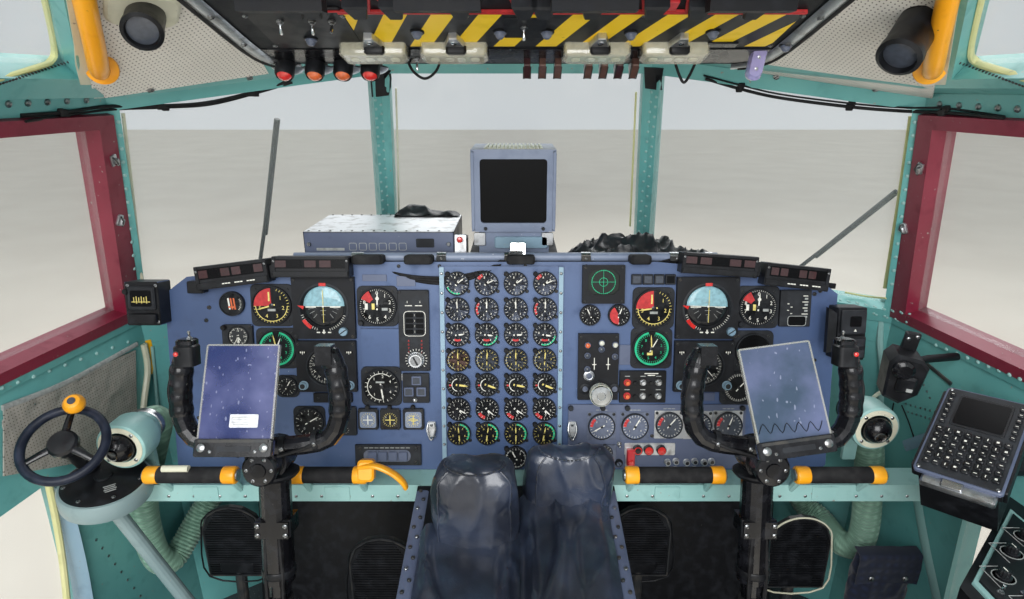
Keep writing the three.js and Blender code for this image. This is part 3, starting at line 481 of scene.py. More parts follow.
# %% [markdown]
# Most pieces are turned, extruded or bent on the real thing: a knob is turned on a lathe, a plate is cut
# from sheet and its edge broken, a handle is a bent tube. Writing the points directly is quicker than
# modifiers for the hundreds of small parts on a panel, and each form comes out closed.


# %% The form kit
def bridges(rings, count, wrap=True):
    """Four-sided faces between rings of count points, the first ring at point 0."""
    return [[r * count + i, r * count + (i + 1) % count, (r + 1) * count + (i + 1) % count,
        (r + 1) * count + i] for r in range(rings - 1) for i in range(count if wrap else count - 1)]


def capped(rings, count):
    """The faces of a closed bar of rings: its sides and its two ends."""
    return bridges(rings, count) + [list(range(count))[::-1], [(rings - 1) * count + k for k in range(count)]]


def lathe(outline, turns=24):
    """Turns an outline of (radius, height) points about Z. Its ends close with flat caps, or at a point."""
    points, faces, rings = [], [], []
    for radius, height in outline:
        start, count = len(points), turns if radius > 1e-6 else 1
        points += [(radius * cos(2 * pi * i / turns), radius * sin(2 * pi * i / turns), height)
            for i in range(count)]
        rings.append([start + i % count for i in range(turns)])
    for low, high in zip(rings, rings[1:]):
        for i in range(turns):
            face = list(dict.fromkeys([low[i], low[(i + 1) % turns], high[(i + 1) % turns], high[i]]))
            if len(face) > 2:
                faces.append(face)
    if outline[0][0] > 1e-6:
        faces.append(rings[0][::-1])
    if outline[-1][0] > 1e-6:
        faces.append(rings[-1])
    return points, faces


def disc(radius, low, high):
    """The outline of a turned disc with a flat top."""
    return [(radius, low), (radius, high), (0, high)]


def plate(outline, low, high, soft=0.0):
    """An outline in X and Y, anticlockwise, made thick from low to high. soft breaks the upper edge."""
    n = len(outline)
    rings = [[(x, y, low) for x, y in outline], [(x, y, high - soft) for x, y in outline]]
    if soft:
        mx, my = (sum(p[k] for p in outline) / n for k in (0, 1))
        keep = 1 - soft / max(hypot(x - mx, y - my) for x, y in outline) * 1.3
        rings.append([(mx + (x - mx) * keep, my + (y - my) * keep, high) for x, y in outline])
    return [p for ring in rings for p in ring], capped(len(rings), n)


def rounded(wide, tall, radius=0.0, steps=3):
    """A rectangle's outline with round corners, anticlockwise."""
    radius = min(radius, wide / 2 - 0.01, tall / 2 - 0.01)
    if radius <= 0:
        return [(sx * wide / 2, sy * tall / 2) for sx, sy in ((-1, -1), (1, -1), (1, 1), (-1, 1))]
    outline = []
    for corner, (sx, sy) in enumerate(((1, 1), (-1, 1), (-1, -1), (1, -1))):
        for i in range(steps + 1):
            turn = pi / 2 * (corner + i / steps)
            outline.append((sx * (wide / 2 - radius) + radius * cos(turn), sy * (tall / 2 - radius) + radius
                * sin(turn)))
    return outline


def block(wide, tall, low, high, radius=0.0, soft=0.4):
    return plate(rounded(wide, tall, radius), low, high, soft)


def smooth_path(points, steps=6, closed=False):
    """More points on a smooth curve through the given ones."""
    points = [Vector(p) for p in points]
    n = len(points)
    path = []
    for i in range(n if closed else n - 1):
        a, b, c, d = (points[(i + k) % n] if closed else points[max(0, min(n - 1, i + k))]
            for k in (-1, 0, 1, 2))
        for s in range(steps):
            t = s / steps
            path.append(0.5 * ((2 * b) + (c - a) * t + (2 * a - 5 * b + 4 * c - d) * t * t
                + (3 * b - a - 3 * c + d) * t ** 3))
    return path if closed else path + [points[-1]]


def tube(path, radius, sides=12, closed=False, flat=1.0, up=None):
    """A round bar along a path. radius may change with the share of the way; flat squashes the section."""
    path = [Vector(p) for p in path]
    n = len(path)
    ahead = [(path[(i + 1) % n] - path[i - 1] if closed
        else path[min(i + 1, n - 1)] - path[max(i - 1, 0)]) .normalized() for i in range(n)]
    side = (Vector(up) if up else Vector((0.3, 0.2, 1))).cross(ahead[0]).normalized()
    points = []
    for i in range(n):
        side = (side - ahead[i] * side.dot(ahead[i])).normalized()
        other = ahead[i].cross(side)
        r = radius(i / max(1, n - 1)) if callable(radius) else radius
        points += [path[i] + side * (r * cos(2 * pi * k / sides)) + other
            * (r * flat * sin(2 * pi * k / sides)) for k in range(sides)]
    if not closed:
        return points, capped(n, sides)
    return points, [[i % (n * sides) for i in face] for face in bridges(n + 1, sides)]


def grid_sheet(rows, thick=0.0):
    """A surface through rows of points. thick gives it a back, away from its own normal, so that it is
    closed."""
    m, n = len(rows), len(rows[0])
    points = [Vector(p) for row in rows for p in row]
    faces = bridges(m, n, False)
    if thick:
        normals = [Vector() for _ in points]
        for f in faces:
            flat = (points[f[1]] - points[f[0]]).cross(points[f[3]] - points[f[0]])
            for i in f:
                normals[i] += flat
        back = [p - v.normalized() * thick for p, v in zip(points, normals)]
        total = len(points)
        rim = [i for i in range(n)] + [r * n + n - 1 for r in range(1, m)]
        rim += [(m - 1) * n + i for i in range(n - 2, -1, -1)] + [r * n for r in range(m - 2, 0, -1)]
        faces += [[total + i for i in reversed(f)] for f in faces]
        faces += [[b, a, total + a, total + b] for a, b in zip(rim, rim[1:] + rim[:1])]
        points += back
    return points, faces


# %% Pieces and places
def frame_at(origin, out, up=(0, 0, 1), turn=0.0):
    """A place whose Z points out of a surface and whose Y points up along it."""
    z = Vector(out).normalized()
    x = Vector(up).cross(z)
    x = (x if x.length > 1e-4 else Vector((1, 0, 0))).normalized()
    basis = Matrix((x, z.cross(x), z)).transposed().to_4x4()
    return Matrix.Translation(Vector(origin)) @ basis @ Matrix.Rotation(turn, 4, "Z")


def shift(x=0, y=0, z=0):
    return Matrix.Translation((x, y, z))


def spin(degrees, axis="Z"):
    return Matrix.Rotation(radians(degrees), 4, axis)


def corners(across, up):
    return [(sx * across, sy * up) for sx in (-1, 1) for sy in (-1, 1)]


class Piece:
    """Forms in millimetres, each with its finish, that become one object on one CAD body."""

    def __init__(self, name, body="deck"):
        self.name, self.body = name, body
        self.points, self.faces, self.kinds, self.finishes = [], [], [], []

    def add(self, form, made, at=None):
        points, faces = form
        base = len(self.points)
        if made not in self.finishes:
            self.finishes.append(made)
        self.points += [at @ Vector(p) for p in points] if at else [Vector(p) for p in points]
        self.faces += [[base + i for i in f] for f in faces]
        self.kinds += [self.finishes.index(made)] * len(faces)

    def put(self, at, *rows):
        """Adds blocks and turned forms on a face: finish, x, y, then a block's numbers or a lathe's
        outline."""
        for made, x, y, *form in rows:
            self.add(lathe(*form) if isinstance(form[0], list) else block(*form), made, at @ shift(x, y))

    def screws(self, at, wide, lift, spots, made=STEEL_DARK):
        """Slotted screws of one size at places on a face."""
        for x, y in spots:
            here = at @ shift(x, y, lift)
            self.put(here, (made, 0, 0, [(wide / 2, 0), (wide / 2, wide * 0.14), (wide * 0.3, wide * 0.28),
                (0, wide * 0.3)], 10))
            self.add(block(wide * 0.8, wide * 0.13, wide * 0.1, wide * 0.31, 0, 0), SCREEN, here @ spin(35))

    def make(self, slot, *replaced, angle=32):
        mesh = bpy.data.meshes.new(self.name)
        mesh.from_pydata([p * MM for p in self.points], [], self.faces)
        for made in self.finishes:
            mesh.materials.append(made)
        mesh.polygons.foreach_set("material_index", self.kinds)
        mesh.polygons.foreach_set("use_smooth", [True] * len(mesh.polygons))
        mesh.set_sharp_from_angle(angle=radians(angle))
        obj = bpy.data.objects.new(self.name, mesh)
        scene.collection.objects.link(obj)
        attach(obj, self.body)
        if replaced:
            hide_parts(*replaced)
        print(self.name, len(mesh.polygons), "faces")
        return obj


# %% [markdown]
# Small things such as rivets, straps and switches are placed where the photograph shows them: a line of
# sight goes from the eye through that point of the picture and stops at the first CAD solid it meets, so
# the piece sits on what carries it from every side. Blender's BVH tree finds that point quickly.

# %% Lines of sight onto the CAD solids
def tree_of(obj):
    return BVHTree.FromPolygons([v.co / MM for v in obj.data.vertices],
        [tuple(p.vertices) for p in obj.data.polygons])


trees = {name: tree_of(obj) for name, obj in frame["nodes"].items()}


def sight(px, py):
    """The direction from the eye through a point of the picture."""
    across, up = (px - CENTRE[0]) / FOCAL, (CENTRE[1] - py) / FOCAL
    return Vector((across, cos(PITCH) + up * sin(PITCH), up * cos(PITCH) - sin(PITCH))).normalized()


def seen(px, py, *names):
    """The point and the outward normal where a line of sight meets the nearest of the named solids."""
    hits = [hit for hit in (trees[name].ray_cast(EYE, sight(px, py)) for name in names) if hit[0]]
    point, normal, _, _ = min(hits, key=lambda hit: hit[3])
    return point, normal if normal.dot(sight(px, py)) < 0 else -normal


def at_depth(px, py, y):
    """Where a line of sight crosses the plane of a given Y."""
    way = sight(px, py)
    return EYE + way * ((y - EYE.y) / way.y)


print("lines of sight ready for", len(trees), "solids")

# %% [markdown]
# Two cloth-covered air hoses bring air from the nose to the outlets. Each is a wire helix under rubberised
# cloth, so its wall stands in ribs about 9 mm apart. Their routes are the CAD routes: down behind the beam,
# round a bend at knee height, then up and forward to the nose wall.

# %% Air hoses
HOSE_RADIUS = 31
HOSE_PATHS = {"left": [(-800, 290, 874), (-812, 345, 850), (-852, 366, 760), (-893, 364, 640),
    (-905, 368, 535), (-905, 385, 440), (-898, 425, 400), (-880, 468, 425), (-858, 510, 468),
    (-830, 545, 515), (-790, 585, 585), (-745, 618, 655), (-700, 655, 710), (-650, 690, 745),
    (-610, 780, 770)], "right": [(762, 345, 880), (795, 392, 850), (846, 403, 750), (862, 400, 640),
    (875, 400, 527), (873, 412, 459), (860, 455, 428), (855, 510, 422), (848, 552, 430), (820, 588, 446),
    (795, 608, 495), (755, 628, 590), (690, 665, 690), (645, 705, 745), (610, 780, 770)],}


def even_path(points, step):
    """The smooth path through points, in equal steps."""
    fine = smooth_path(points, 24)
    made, left = [fine[0]], step
    for a, b in zip(fine, fine[1:]):
        span = (b - a).length
        while left <= span:
            made.append(a.lerp(b, left / span))
            left += step
        left -= span
    return made


for side, points in HOSE_PATHS.items():
    path = even_path(points, 2.25)
    hose = Piece(f"air_hose_{side}")
    ribs = 2 * pi * (len(path) - 1) / 4
    hose.add(tube(path, lambda share: HOSE_RADIUS + 1.9 * cos(share * ribs), 28), HOSE)
    obj = hose.make("hose", f"air_outlet_{side}", angle=75)
    long = sum((b - a).length for a, b in zip(path, path[1:]))
    print(obj.name, "is", round(long), "mm long")

# %% [markdown]
# An instrument is a case pushed through the panel from behind: a black ring round its glass, a dial with
# painted marks and one or two pointers. All of them are made by one routine from a table of places, sizes
# and markings. Angles run clockwise from the top, as the pilot reads them. Numerals are cut from Blender's
# own font once each.

# %% Parts of a dial
PANEL = Matrix(((1, 0, 0, 0), (0, 0.1771, -0.9842, 297), (0, 0.9842, 0.1771, 757), (0, 0, 0, 1)))


def glyph_form(text):
    """One numeral as flat faces, its height about 1, centred on its place."""
    curve = bpy.data.curves.new("numeral", "FONT")
    curve.body, curve.align_x, curve.align_y, curve.resolution_u = text, "CENTER", "CENTER", 2
    curve.extrude = 0.02
    holder = bpy.data.objects.new("numeral", curve)
    scene.collection.objects.link(holder)
    mesh = bpy.data.meshes.new_from_object(holder.evaluated_get(bpy.context.evaluated_depsgraph_get()))
    form = [tuple(v.co) for v in mesh.vertices], [list(p.vertices) for p in mesh.polygons]
    for kind, made in ((bpy.data.objects, holder), (bpy.data.curves, curve), (bpy.data.meshes, mesh)):
        kind.remove(made)
    return form


GLYPHS = {text: glyph_form(text) for text in [str(n) for n in range(13)] + [str(n) for n in range(15, 39, 3)]}


def numeral(text, tall):
    points, faces = GLYPHS[text]
    return [(x * tall, y * tall, z * tall) for x, y, z in points], faces


def numerals(piece, at, texts, tall, made, radius, first, step, upright=True):
    """Numerals round a dial, or leaning with it."""
    for i, text in enumerate(texts):
        turn = first + step * i
        place = at @ shift(*on_ring(radius, turn)) @ spin(0 if upright else -turn)
        piece.add(numeral(text, tall), made, place)


def on_ring(radius, degrees):
    return radius * sin(radians(degrees)), radius * cos(radians(degrees))


def sector(inner, outer, start, end, low, high):
    """Part of a ring between two angles."""
    count = max(3, int(abs(end - start) / 9))
    section = ((inner, low), (outer, low), (outer, high), (inner, high))
    points = [(*on_ring(radius, start + (end - start) * i / count), height) for i in range(count + 1)
        for radius, height in section]
    faces = [[i * 4 + k, i * 4 + 4 + k, i * 4 + 4 + (k + 1) % 4, i * 4 + (k + 1) % 4] for i in range(count)
        for k in range(4)]
    return points, faces + [[3, 2, 1, 0], [count * 4 + k for k in range(4)]]


def ticks(piece, at, radius, count, long, wide, made, start=0, end=360):
    for i in range(count + (end - start < 360)):
        turn = start + (end - start) * i / count
        piece.add(block(wide, long, 0, 0.25, 0, 0), made, at @ shift(*on_ring(radius - long / 2, turn))
            @ spin(-turn))


def pointer(piece, at, length, tail, wide, degrees, made, hub=0.0):
    shape = [(-wide / 2, -tail), (wide / 2, -tail), (wide / 2, length * 0.7), (0, length),
        (-wide / 2, length * 0.7)]
    piece.add(plate(shape, 0.8, 1.3), made, at @ spin(-degrees))
    if hub:
        piece.add(lathe([(hub, 0.3), (hub, 1.7), (hub * 0.7, 2.2), (0, 2.2)], 16), FACE, at)


def ring(piece, at, wide, raised, lip=3.0, deep=3.2):
    """The ring round a dial: it covers the can's edge and stands proud of the glass."""
    r = wide / 2 + 0.5
    piece.put(at, (CASE_GREY, 0, 0, [(r, 0.2), (r, raised + deep - 0.8), (r - 0.8, raised + deep),
        (r - lip * 0.6, raised + deep), (r - lip, raised + 0.4)], 32))


def knob(piece, at, wide, tall, made, ribs=14, cap=None, skirt=0.0):
    """A turned knob with a knurled side."""
    r = wide / 2
    if skirt:
        piece.add(lathe([(r + skirt, 0), (r + skirt, tall * 0.2), (r, tall * 0.28)], 20), made, at)
    points = [(r * scale * (1 if i % 2 else 0.9) * cos(pi * i / ribs), r * scale * (1 if i % 2 else 0.9)
        * sin(pi * i / ribs), height) for height, scale in ((0, 1), (tall * 0.86, 1), (tall, 0.86))
        for i in range(ribs * 2)]
    piece.add((points, capped(3, ribs * 2)), made, at)
    if cap:
        piece.put(at, (cap, 0, 0, [(r * 0.66, tall), (r * 0.62, tall + 0.5), (0, tall + 0.5)], 16))
        piece.put(at @ spin(28), (FACE, 0, 0, r * 0.22, r * 1.2, tall + 0.4, tall + 0.9, 0, 0))


def toggle(piece, at, tall=15, lean=18, made=CHROME):
    """A toggle switch: a hexagonal nut, a bush and a lever with a rounded end."""
    piece.add(lathe([(5.6, 0), (5.6, 2.2), (5.0, 2.6), (3.6, 2.6), (3.4, 5.2), (0, 5.2)], 6), STEEL, at)
    lever = at @ shift(0, 0, 4) @ spin(lean, "X")
    piece.add(lathe([(1.4, 0), (1.9, tall * 0.4), (2.7, tall * 0.85), (2.2, tall), (0, tall + 0.8)], 12),
        made, lever)


def lamp(piece, at, wide, tall, lens, rim=STEEL_DARK):
    """A press-to-test lamp: a knurled ring and a domed lens."""
    r = wide / 2
    knob(piece, at, wide, tall * 0.55, rim, 12)
    piece.add(lathe([(r * 0.76, tall * 0.5), (r * 0.74, tall * 0.8), (r * 0.4, tall), (0, tall * 1.05)], 16),
        lens, at)


# %% [markdown]
# The round dials follow one table. Each kind of face has its own marks: wide green rings on the torque
# gauges, a red sector on the airspeed dials, white numerals on the altimeters.

# %% Round dials
dials = Piece("panel_round_dials")


def face_of(at, kind, r, needle):
    """Marks and pointers of one dial whose free face has radius r."""
    dials.put(at, (FACE, 0, 0, disc(r, 0, 0.3), 32))
    top = at @ shift(0, 0, 0.35)
    if kind == "airspeed":
        dials.add(sector(0, r * 0.96, 268, 358, 0, 0.15), MARK_RED, top)
        dials.add(sector(r * 0.84, r * 0.88, 92, 268, 0.1, 0.2), MARK_YELLOW, top)
        ticks(dials, top, r * 0.97, 24, r * 0.12, 1.0, MARK_YELLOW, 20, 268)
        numerals(dials, top, "12345", r * 0.3, MARK_YELLOW, r * 0.64, 50, 52)
        pointer(dials, top, r * 0.85, r * 0.2, 3.0, needle, MARK_YELLOW, 5)
        dials.put(top, (MARK_YELLOW, -r * 0.12, r * 0.5, 3.4, r * 0.5, 0.4, 0.9, 0, 0),
            (MARK_DIM, 0, -r * 0.24, r * 0.42, r * 0.13, 0.2, 0.5, 0, 0))
    elif kind == "altimeter":
        ticks(dials, top, r * 0.97, 50, r * 0.07, 0.6, MARK)
        numerals(dials, top, "0123456789", r * 0.3, MARK, r * 0.74, 0, 36)
        dials.add(sector(r * 0.45, r * 0.98, 296, 332, 0.1, 0.3), MARK_RED, top)
        for i, made in enumerate((MARK, FACE, MARK_YELLOW)):
            dials.put(top, (made, -r * (0.6 - 0.19 * i), 0, r * 0.16, r * 0.34, 0.2, 0.6, 0, 0))
        dials.put(top, (MARK_DIM, r * 0.42, -r * 0.15, r * 0.32, r * 0.15, 0.2, 0.5, 0, 0),
            (MARK, *on_ring(r * 0.45, needle), disc(r * 0.1, 0.3, 1.4), 12))
        pointer(dials, top, r * 0.8, r * 0.2, 3.0, needle, MARK, 4)
    elif kind == "torque":
        dials.add(sector(r * 0.84, r * 0.95, 12, 348, 0.1, 0.25), MARK_GREEN, top)
        ticks(dials, top, r * 0.84, 40, r * 0.13, 0.9, MARK_GREEN, 12, 348)
        numerals(dials, top, "12345678", r * 0.22, MARK_GREEN, r * 0.56, 30, 42)
        pointer(dials, top, r * 0.8, r * 0.35, 2.6, needle, MARK_YELLOW, 4)
        pointer(dials, top, r * 0.66, r * 0.2, 2.2, needle + 34, MARK)
        dials.put(top, (MARK_YELLOW, -r * 0.1, -r * 0.3, r * 0.3, r * 0.14, 0.2, 0.4, 0, 0))
    elif kind == "climb":
        dials.add(sector(r * 0.78, r * 0.82, 180, 400, 0.1, 0.2), MARK, top)
        ticks(dials, top, r * 0.96, 22, r * 0.13, 0.9, MARK, 90, 450)
        numerals(dials, top, "4210124", r * 0.24, MARK, r * 0.62, 120, 50)
        pointer(dials, top, r * 0.86, r * 0.2, 3.0, needle, MARK, 5)
        dials.put(top, (MARK_DIM, -r * 0.05, r * 0.28, r * 0.5, r * 0.1, 0.2, 0.5, 0, 0))
    elif kind == "trim":
        for x, made in ((-0.24, MARK), (0.0, LAMP_ORANGE), (0.26, LAMP_ORANGE)):
            dials.add(block(r * 0.14, r * 1.05, 0.1, 0.5, 0, 0), made, top @ shift(x * r, 0) @ spin(7))
        dials.put(top, (LAMP_ORANGE, 0, -r * 0.3, r * 0.6, r * 0.15, 0.3, 0.8, 0, 0))
        ticks(dials, top, r * 0.9, 8, r * 0.14, 0.8, MARK, 60, 130)
    else:
        count = 36 if kind == "rose" else 10
        ticks(dials, top, r * 0.96, count * 2, r * 0.1, 0.6, MARK_DIM)
        ticks(dials, top, r * 0.96, count, r * 0.17, 1.0, MARK)
        if kind != "rose":
            numerals(dials, top, "02468", r * 0.26, MARK_DIM, r * 0.6, 215, 72)
        if kind == "red_half":
            dials.add(sector(r * 0.1, r * 0.96, 182, 330, 0.1, 0.3), MARK_RED, top)
        pointer(dials, top, r * 0.86, r * 0.3, 2.2, needle, MARK, 3.4)


for u, v, wide, kind, needle, flange in (  # flange is the side of the square flange, or 0 for none
    (-608, 375, 52, "trim", 0, 0), (-523, 371, 84, "airspeed", 255, 92), (-297, 369, 82, "altimeter", 2, 88),
    (-517, 277, 84, "torque", -12, 90), (-294, 192, 79, "climb", 172, 88), (-455, 112, 64, "face", 60, 70),
    (-499, 192, 44, "face", 30, 50), (159, 350, 44, "face", -25, 0), (221, 350, 46, "red_half", 20, 0),
    (295, 365, 84, "airspeed", 262, 90), (518.5, 367, 82, "altimeter", 4, 92),
    (293, 277, 83, "torque", -4, 90), (513, 272, 76, "dark", 0, 88), (486, 190, 70, "rose", 40, 80),
):
    here = PANEL @ shift(u, v)
    if flange:
        dials.put(here, (CASE_GREY, 0, 0, flange, flange, 0.2, 3.2, 12, 0.8))
        dials.screws(here, 6.5, 3.2, corners(flange / 2 - 12, flange / 2 - 12))
    ring(dials, here, wide, 7)
    if kind == "dark":
        dials.put(here @ shift(0, 0, 7.1), (SCREEN, 0, 0, disc(35, 0, 0.4), 32),
            (SCREEN, 0, 0, 52, 52, 0.5, 1.4, 7))
    else:
        face_of(here @ shift(0, 0, 7.1), kind, wide / 2 - 2.6, needle)
    if kind == "altimeter":
        knob(dials, here @ shift(-36, -36, 3.5), 12, 9, CASE_GREY)
dials.make("instrument")

# %% [markdown]
# The engine gauges stand in four columns, one for each engine, and each row measures one thing, so a row
# shares its marks. Every gauge has a black cap on its adjuster at the upper left and a grey clamp screw at
# the lower right.

# %% Engine gauges
gauges = Piece("engine_gauges")
GAUGE_MM = 50.5
ALL, RIGHT_PAIR = (0, 1, 2, 3), (1, 3)
GAUGE_ROWS = [  # face, pointers (angle, length, width), arcs (finish, inner, outer, from, to, columns), ticks
    (FACE_STEEL, [(58, 0.82, 2.2), (28, 0.4, 1.6)],
     [(MARK_GREEN, 0.86, 0.97, 165, 250, (0,)), (MARK_RED, 0.7, 0.97, 300, 335, RIGHT_PAIR)], MARK),
    (FACE_STEEL, [(0, 0.85, 2.4)], [(MARK_RED, 0.8, 0.97, 240, 310, RIGHT_PAIR)], MARK),
    (FACE_GREY, [(90, 0.6, 3.2)],
     [(MARK_RED, 0.42, 0.6, 150, 215, ALL), (MARK_GREEN, 0.86, 0.98, 95, 200, RIGHT_PAIR)], MARK),
    (FACE_GREY, [(0, 0.8, 2.2), (180, 0.5, 2.0)], [(MARK_DIM, 0.86, 0.9, 200, 340, ALL)], MARK_YELLOW),
    (FACE, [(104, 0.9, 4.0)],
     [(MARK, 0.56, 0.62, 190, 350, ALL), (MARK_RED, 0.62, 0.84, 262, 274, ALL)], MARK_DIM),
    (FACE, [(125, 0.85, 2.6), (150, 0.5, 2.0)], [(MARK_RED, 0.66, 0.95, 195, 245, (1, 2, 3))], MARK),
    (FACE, [(182, 0.8, 2.6), (2, 0.7, 2.4)], [(MARK_GREEN, 0.84, 0.99, 5, 125, ALL)], MARK_YELLOW),
    (FACE, [(335, 0.8, 2.6)], [(MARK_DIM, 0.86, 0.92, 30, 330, ALL)], MARK),
]
r = GAUGE_MM / 2 - 1.8
for row, (shade, hands, arcs, mark) in enumerate(GAUGE_ROWS):
    for column in ALL if row < 7 else (2, 3):
        here = PANEL @ shift(-125.2 + 62.4 * column, 418.7 - 55.3 * row)
        ring(gauges, here, GAUGE_MM, 12, 2.2, 2.2)
        gauges.put(here, (FACE_BROWN if (row, column) == (3, 0) else shade, 0, 0, disc(r, 12, 12.4), 32),
            (RUBBER, -20.5, 20.5, [(5.2, 5), (5.2, 14), (4.4, 16.5), (0, 16.8)], 14))
        gauges.screws(here, 8, 5, [(24, -17)])
        top = here @ shift(0, 0, 12.45)
        ticks(gauges, top, r * 0.98, 20, r * 0.14, 0.55, mark)
        ticks(gauges, top, r * 0.98, 10, r * 0.22, 0.8, mark)
        numerals(gauges, top, [str((i * 2 + row) % 10) for i in range(5)], r * 0.27, mark, r * 0.58,
            54 + 9 * row, 72)
        for made, inner, outer, start, end, columns in arcs:
            if column in columns:
                gauges.add(sector(r * inner, r * outer, start, end, 0.05, 0.22), made, top)
        jitter = (-7, 6, -3, 9)[column] * (0.4 if row in (1, 3) else 1)
        for turn, length, wide in hands:
            pointer(gauges, top, r * length, r * 0.22, wide, turn + jitter, MARK if mark == MARK
                else MARK_YELLOW, 2.6)
for u in (-158, 96):
    gauges.put(PANEL, (BLUE_LIGHT, u, 231.5, 9.4, 444, 8.1, 8.9, 1, 0.3),
        *((STEEL, u, 20 + 42 * i, [(3.2, 8.7), (3.2, 10.0), (2.0, 11.2), (0, 11.6)], 12) for i in range(11)))
gauges.make("instrument")

# %% [markdown]
# The attitude indicators are the largest faces: a domed card, pale above and black below the horizon,
# behind a square case with clipped marks round its window. The course indicators below have a rose card and
# two set knobs.

# %% Attitude and course indicators
horizons = Piece("attitude_and_course_indicators")


def dome_half(radius, rise, sign):
    return grid_sheet([[(radius * sin(lean) * cos(pi * i / 16), sign * radius * sin(lean) * sin(pi * i / 16),
        rise * cos(lean)) for i in range(17)][::sign] for lean in [pi / 12 * k for k in range(7)]])


for u, level, dot_u in ((-411, 0, 47), (409, -2, 56)):
    here = PANEL @ shift(u, 366)
    horizons.put(here, (CASE_GREY, 0, 0, [(54.5, 6.4), (54.5, 12.9), (52.6, 13.7), (50.2, 13.7), (47.2, 9.5),
        (47.2, 6.4)], 40))
    for sign, made in ((1, HORIZON_SKY), (-1, FACE)):
        horizons.add(dome_half(44, 5.2, sign), made, here @ shift(0, 4, 6.6) @ spin(level))
    lines = here @ shift(0, 4, 11.9)
    for turn in (100, 118, 140, 180, 220, 242, 260):
        x, y = on_ring(20, turn)
        horizons.add(block(0.7, 26, 0, 0.3, 0, 0), MARK_DIM, lines @ shift(x, y, -1.2) @ spin(-turn)
            @ spin(7, "X"))
    horizons.add(block(76, 1.1, 0, 0.4, 0, 0), MARK, lines @ spin(level))
    horizons.put(lines, (MARK_YELLOW, 2 if u > 0 else 0, 0, 1.2, 70, 0.8, 1.3, 0, 0),
        (MARK, 0, 0, disc(2.2, 1.4, 2.6), 12))
    for side in (-1, 1):
        horizons.put(lines, (MARK, side * 26, -1.2, 22, 2.2, 1.4, 2.2, 0, 0),
            (MARK_DIM, 0, side * 9, 12, 0.8, 0, 0.3, 0, 0), (MARK_DIM, 0, side * 18, 8, 0.8, 0, 0.3, 0, 0))
    bezel = here @ shift(0, 0, 13.7)
    horizons.add(sector(45.5, 53, 212, 240, -1.2, 0.3), LAMP_RED, bezel)
    horizons.add(plate([(-7, -4), (7, 0), (-7, 4)], -0.9, 0.6), LAMP_RED, bezel @ shift(-48, 4) @ spin(160))
    for start in (198, 110):
        ticks(horizons, bezel @ shift(0, 0, -0.6), 50, 9, 5, 1.0, MARK, start, start + 54)
    horizons.put(bezel, (LAMP_RED, 0, 51, 15, 7, -0.9, 0.6, 1), (FACE, 0, -52, 46, 8, -1.6, -0.2, 4, 0.3),
        (MARK, 0, -50.5, 3, 9, 0, 0.9, 0, 0), *((MARK, x, -52, 7, 2.6, -0.2, 0.3, 0, 0)
        for x in (-12, 0, 12)))
    knob(horizons, here @ shift(dot_u - 5, -50, 12.1), 19, 9, BLUE_LIGHT, 20)
    horizons.add(block(2.2, 17, 21.0, 21.6, 0, 0), FACE, here @ shift(dot_u - 5, -50) @ spin(-55))
    horizons.screws(here, 7, 12.1, corners(61, 61))
for u in (-410, 407):
    here = PANEL @ shift(u, 238)
    horizons.put(here, (CASE_GREY, 0, 0, [(44, 6.4), (44, 13.0), (42.4, 13.8), (40.8, 13.8), (39.4, 8)], 40),
        (FACE, 0, 0, disc(40.5, 6.4, 8), 40))
    rose = here @ shift(0, 0, 8.05)
    ticks(horizons, rose, 38, 72, 3, 0.5, MARK_DIM)
    ticks(horizons, rose, 38, 36, 5, 0.9, MARK)
    numerals(horizons, rose, [str(3 * i or 36) for i in range(12)], 6, MARK, 28.5, 8, 30, False)
    horizons.add(block(1.4, 60, 1.2, 1.8, 0, 0), MARK, rose @ spin(42))
    horizons.add(plate([(-4, 0), (4, 0), (0, 7)], 1.2, 1.9), MARK, rose @ shift(*on_ring(24, -42)) @ spin(42))
    horizons.put(rose, (MARK_DIM, 0, 0, 2.0, 22, 1.2, 1.9, 0, 0), (MARK_DIM, 0, 3, 16, 2.0, 1.2, 1.9, 0, 0))
    for x in (-50, 50):
        horizons.put(here, (SCREEN, x, 32, 17, 6, 12.1, 12.6, 0.5, 0),
            *((MARK, x - 4 + 4 * k, 32, 2.2, 3.6, 12.6, 12.8, 0, 0) for k in range(3)))
        ticks(horizons, here @ shift(x, 32, 12.6), 0.1, 1, 5, 1.2, MARK)
        knob(horizons, here @ shift(x, -41, 12.1), 17, 11, BLUE_LIGHT, 16, FACE, 1.5)
    horizons.screws(here, 6, 12.1, corners(59, 50))
horizons.make("instrument")

# %% [markdown]
# Square units follow: the clock, the selector column with its rotary switch, push buttons, the small trim
# indicators and the lights panel. Each is a black or grey unit in the blue panel, held by screws at its
# corners.

# %% Square units of the panel
units = Piece("panel_square_units")
here = PANEL @ shift(-600, 305)
units.add(block(66, 49, 0.2, 8.0, 5, 1), CASE_GREY, here)
ring(units, here @ shift(2, -1), 45, 7.5)
units.put(here, (FACE, 2, -1, disc(20, 8, 8.4), 28))
clock = here @ shift(2, -1, 8.5)
ticks(units, clock, 19, 60, 2, 0.4, MARK)
ticks(units, clock, 19, 12, 4, 1.1, MARK)
numerals(units, clock, ("3", "6", "9", "12"), 5.5, MARK, 12.5, 90, 90)
pointer(units, clock, 16, 4, 1.6, 205, MARK, 2)
pointer(units, clock, 12, 3, 2.2, 150, MARK)
units.add(sector(3, 14, 168, 192, 0.1, 0.3), MARK, clock)
knob(units, here @ shift(-27, 19, 8), 11, 9, RUBBER)
units.screws(here, 6, 8, ((-28, -19), (28, 19)))

